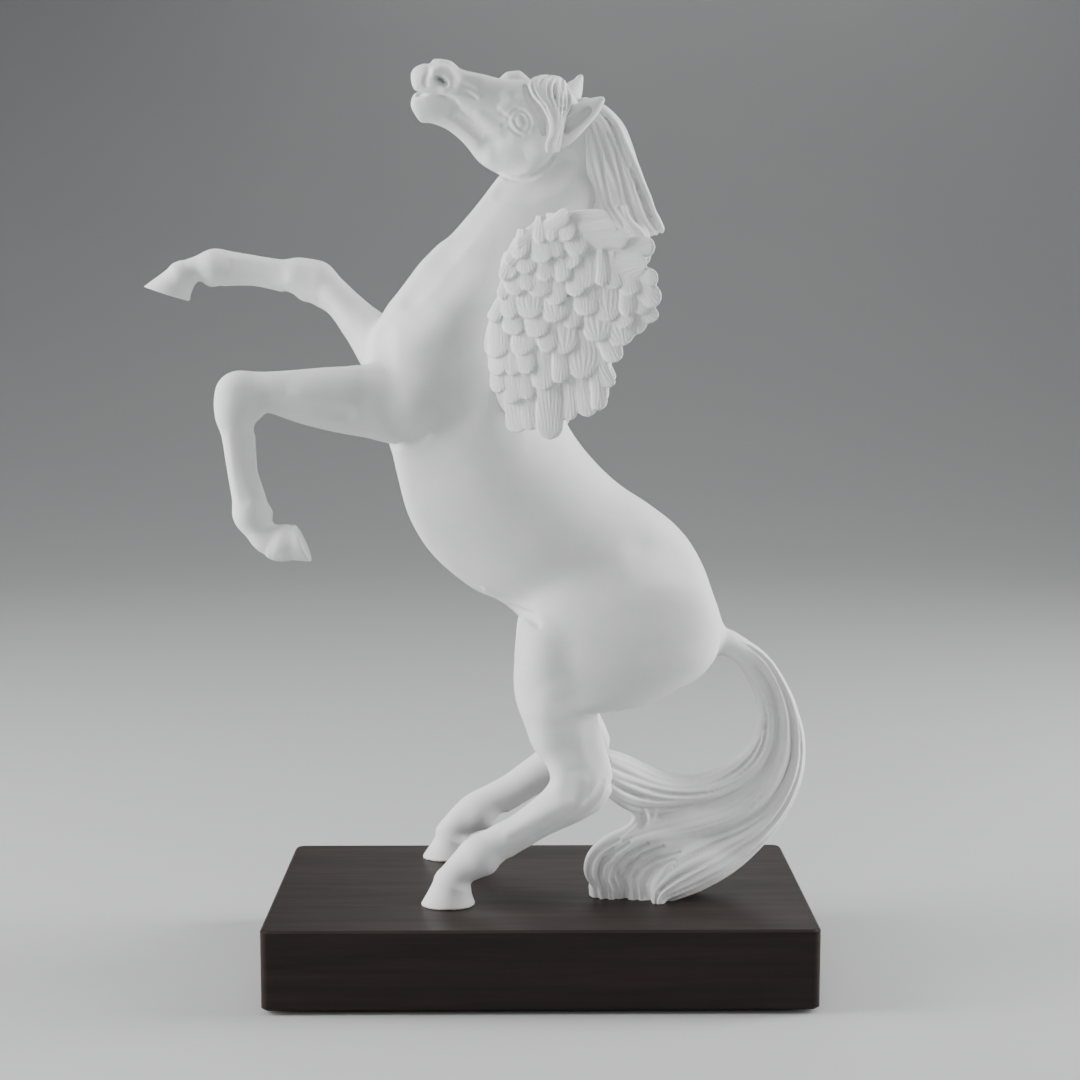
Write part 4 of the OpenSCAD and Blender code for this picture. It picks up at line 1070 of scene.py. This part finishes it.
class Finish:
    """A node material whose colour, roughness and relief follow procedural noise."""

    def __init__(self, name, stretch=(1, 1, 1)):
        self.material = bpy.data.materials.new(name)
        self.material.use_nodes = True
        self.link = self.material.node_tree.links.new
        self.shader = self.material.node_tree.nodes["Principled BSDF"]
        place_at = self.add("ShaderNodeTexCoord")
        self.mapping = self.add("ShaderNodeMapping", Scale=stretch)
        self.link(place_at.outputs["Object"], self.mapping.inputs["Vector"])

    def add(self, kind, **values):
        n = self.material.node_tree.nodes.new(kind)
        for key, value in values.items():
            n.inputs[key].default_value = value
        return n

    def noise(self, **values):
        n = self.add("ShaderNodeTexNoise", **values)
        self.link(self.mapping.outputs["Vector"], n.inputs["Vector"])
        return n.outputs["Fac"]

    def colour(self, fac, dark, light, start=0.0, end=1.0):
        tone = self.add("ShaderNodeValToRGB")
        for element, position, rgb in zip(tone.color_ramp.elements, (start, end), (dark, light)):
            element.position = position
            element.color = (*rgb, 1)
        self.link(fac, tone.inputs["Fac"])
        self.link(tone.outputs["Color"], self.shader.inputs["Base Color"])

    def roughness(self, fac, low, high):
        rough = self.add("ShaderNodeMapRange", **{"To Min": low, "To Max": high})
        self.link(fac, rough.inputs["Value"])
        self.link(rough.outputs["Result"], self.shader.inputs["Roughness"])

    def relief(self, fac, strength, depth):
        bump = self.add("ShaderNodeBump", Strength=strength, Distance=depth)
        self.link(fac, bump.inputs["Height"])
        self.link(bump.outputs["Normal"], self.shader.inputs["Normal"])

    def even(self, name, value):
        self.shader.inputs[name].default_value = value


def bisque():
    """Matt white cast surface, faintly mottled, with a fine tooth."""
    finish = Finish("bisque")
    mottle = finish.noise(Scale=90.0, Detail=5.0, Roughness=0.6)
    finish.colour(mottle, (0.74, 0.745, 0.745), (0.80, 0.80, 0.795), 0.3, 0.7)
    finish.roughness(mottle, 0.62, 0.78)
    finish.relief(finish.noise(Scale=1600.0, Detail=3.0), 0.12, 0.0002)
    finish.even("Specular IOR Level", 0.35)
    return finish.material


def dark_wood():
    """Close-grained wood under a near-black brown stain, grain along the plinth."""
    finish = Finish("dark_wood", (14, 180, 260))
    grain = finish.noise(Scale=1.0, Detail=6.0, Roughness=0.65, Distortion=0.4)
    finish.colour(grain, (0.010, 0.0068, 0.006), (0.024, 0.0155, 0.013), 0.32, 0.72)
    finish.roughness(grain, 0.5, 0.36)
    finish.relief(grain, 0.25, 0.0003)
    finish.even("Specular IOR Level", 0.2)
    return finish.material


def black_felt():
    finish = Finish("black_felt")
    nap = finish.noise(Scale=900.0, Detail=8.0, Roughness=0.8)
    finish.colour(nap, (0.006, 0.006, 0.006), (0.028, 0.028, 0.028))
    finish.relief(nap, 0.6, 0.0004)
    finish.even("Roughness", 0.95)
    return finish.material


def drawn_steel():
    finish = Finish("drawn_steel")
    streaks = finish.noise(Scale=700.0, Detail=4.0)
    finish.colour(streaks, (0.45, 0.46, 0.47), (0.58, 0.59, 0.60))
    finish.roughness(streaks, 0.28, 0.42)
    finish.even("Metallic", 1.0)
    return finish.material


def floor_paint():
    finish = Finish("pale_floor")
    cloud = finish.noise(Scale=3.0, Detail=3.0)
    finish.colour(cloud, (0.44, 0.445, 0.45), (0.47, 0.47, 0.475))
    finish.even("Roughness", 0.8)
    return finish.material


def keep(node, material):
    """A CAD node shown as it is, with its own finish."""
    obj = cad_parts[node]
    obj.data.materials.clear()
    obj.data.materials.append(material)


def pale_floor():
    """A pale floor that curves up into a round pale wall, well clear of the statuette."""
    bend_start, bend_radius, top = 1.2, 2.4, 3.4
    bend = [[bend_start + bend_radius * math.sin(a), bend_radius * (1 - math.cos(a))]
            for a in np.linspace(0, math.pi / 2, 25)]
    profile = [[0.4, 0], [0.8, 0]] + bend + [[bend_start + bend_radius, top]]
    turn = np.linspace(0, 2 * math.pi, 96, endpoint=False)
    rings = np.array([[[r * math.cos(a), r * math.sin(a), z] for a in turn] for r, z in profile])
    points, faces = tube(rings)
    faces = [f for f in faces.tolist() if max(f) < len(points) - 1]
    mesh = bpy.data.meshes.new("floor")
    mesh.from_pydata(points.tolist(), [], faces)
    mesh.polygons.foreach_set("use_smooth", [True] * len(mesh.polygons))
    floor = bpy.data.objects.new("floor", mesh)
    bpy.context.scene.collection.objects.link(floor)
    floor.data.materials.append(floor_paint())


def soft_box(name, at, size, power):
    """A rectangular lamp that points at the figure's middle, all in metres and watts."""
    lamp = bpy.data.lights.new(name, "AREA")
    lamp.shape = "RECTANGLE"
    lamp.size, lamp.size_y = size
    lamp.energy = power
    obj = bpy.data.objects.new(name, lamp)
    obj.location = at
    aim = Vector(FIGURE_MIDDLE) - Vector(at)
    obj.rotation_euler = aim.to_track_quat("-Z", "Y").to_euler()
    bpy.context.scene.collection.objects.link(obj)


def studio():
    pale_floor()
    soft_box("left_key", (-0.95, -0.1, 0.45), (0.4, 0.9), 19)
    soft_box("right_key", (0.95, 0.1, 0.45), (0.4, 0.9), 19)
    soft_box("overhead", (-0.1, 0, 1.7), (1.2, 1.2), 10)
    soft_box("front_fill", (-0.3, -1.5, 1.1), (1.2, 1.2), 7)
    soft_box("back_fill", (0.3, 2.9, 1.7), (1.6, 1.6), 11)
    world = bpy.data.worlds.new("studio")
    world.use_nodes = True
    sky = world.node_tree.nodes["Background"]
    sky.inputs["Color"].default_value = (0.80, 0.82, 0.85, 1)
    sky.inputs["Strength"].default_value = 0.12
    bpy.context.scene.world = world


def camera():
    data = bpy.data.cameras.new("camera")
    data.sensor_width = 36
    data.lens = 61.17
    obj = bpy.data.objects.new("camera", data)
    obj.location = EYE * MM
    obj.rotation_euler = (math.radians(83.47), 0, -0.0085154)
    bpy.context.scene.collection.objects.link(obj)
    bpy.context.scene.camera = obj


white = bisque()
body = body_casting()
near_hind_leg = legs()
head_and_hair(body)
wings(body)
tail_casting(body, near_hind_leg)
keep("plinth", dark_wood())
keep("felt_sheet", black_felt())
steel = drawn_steel()
for n in ("left_leg_rod", "right_leg_rod", "tail_stud", "washers", "hex_nuts", "wing_pegs",
          "foreleg_dowels", "neck_dowel", "tail_dowel"):
    keep(n, steel)
studio()
camera()
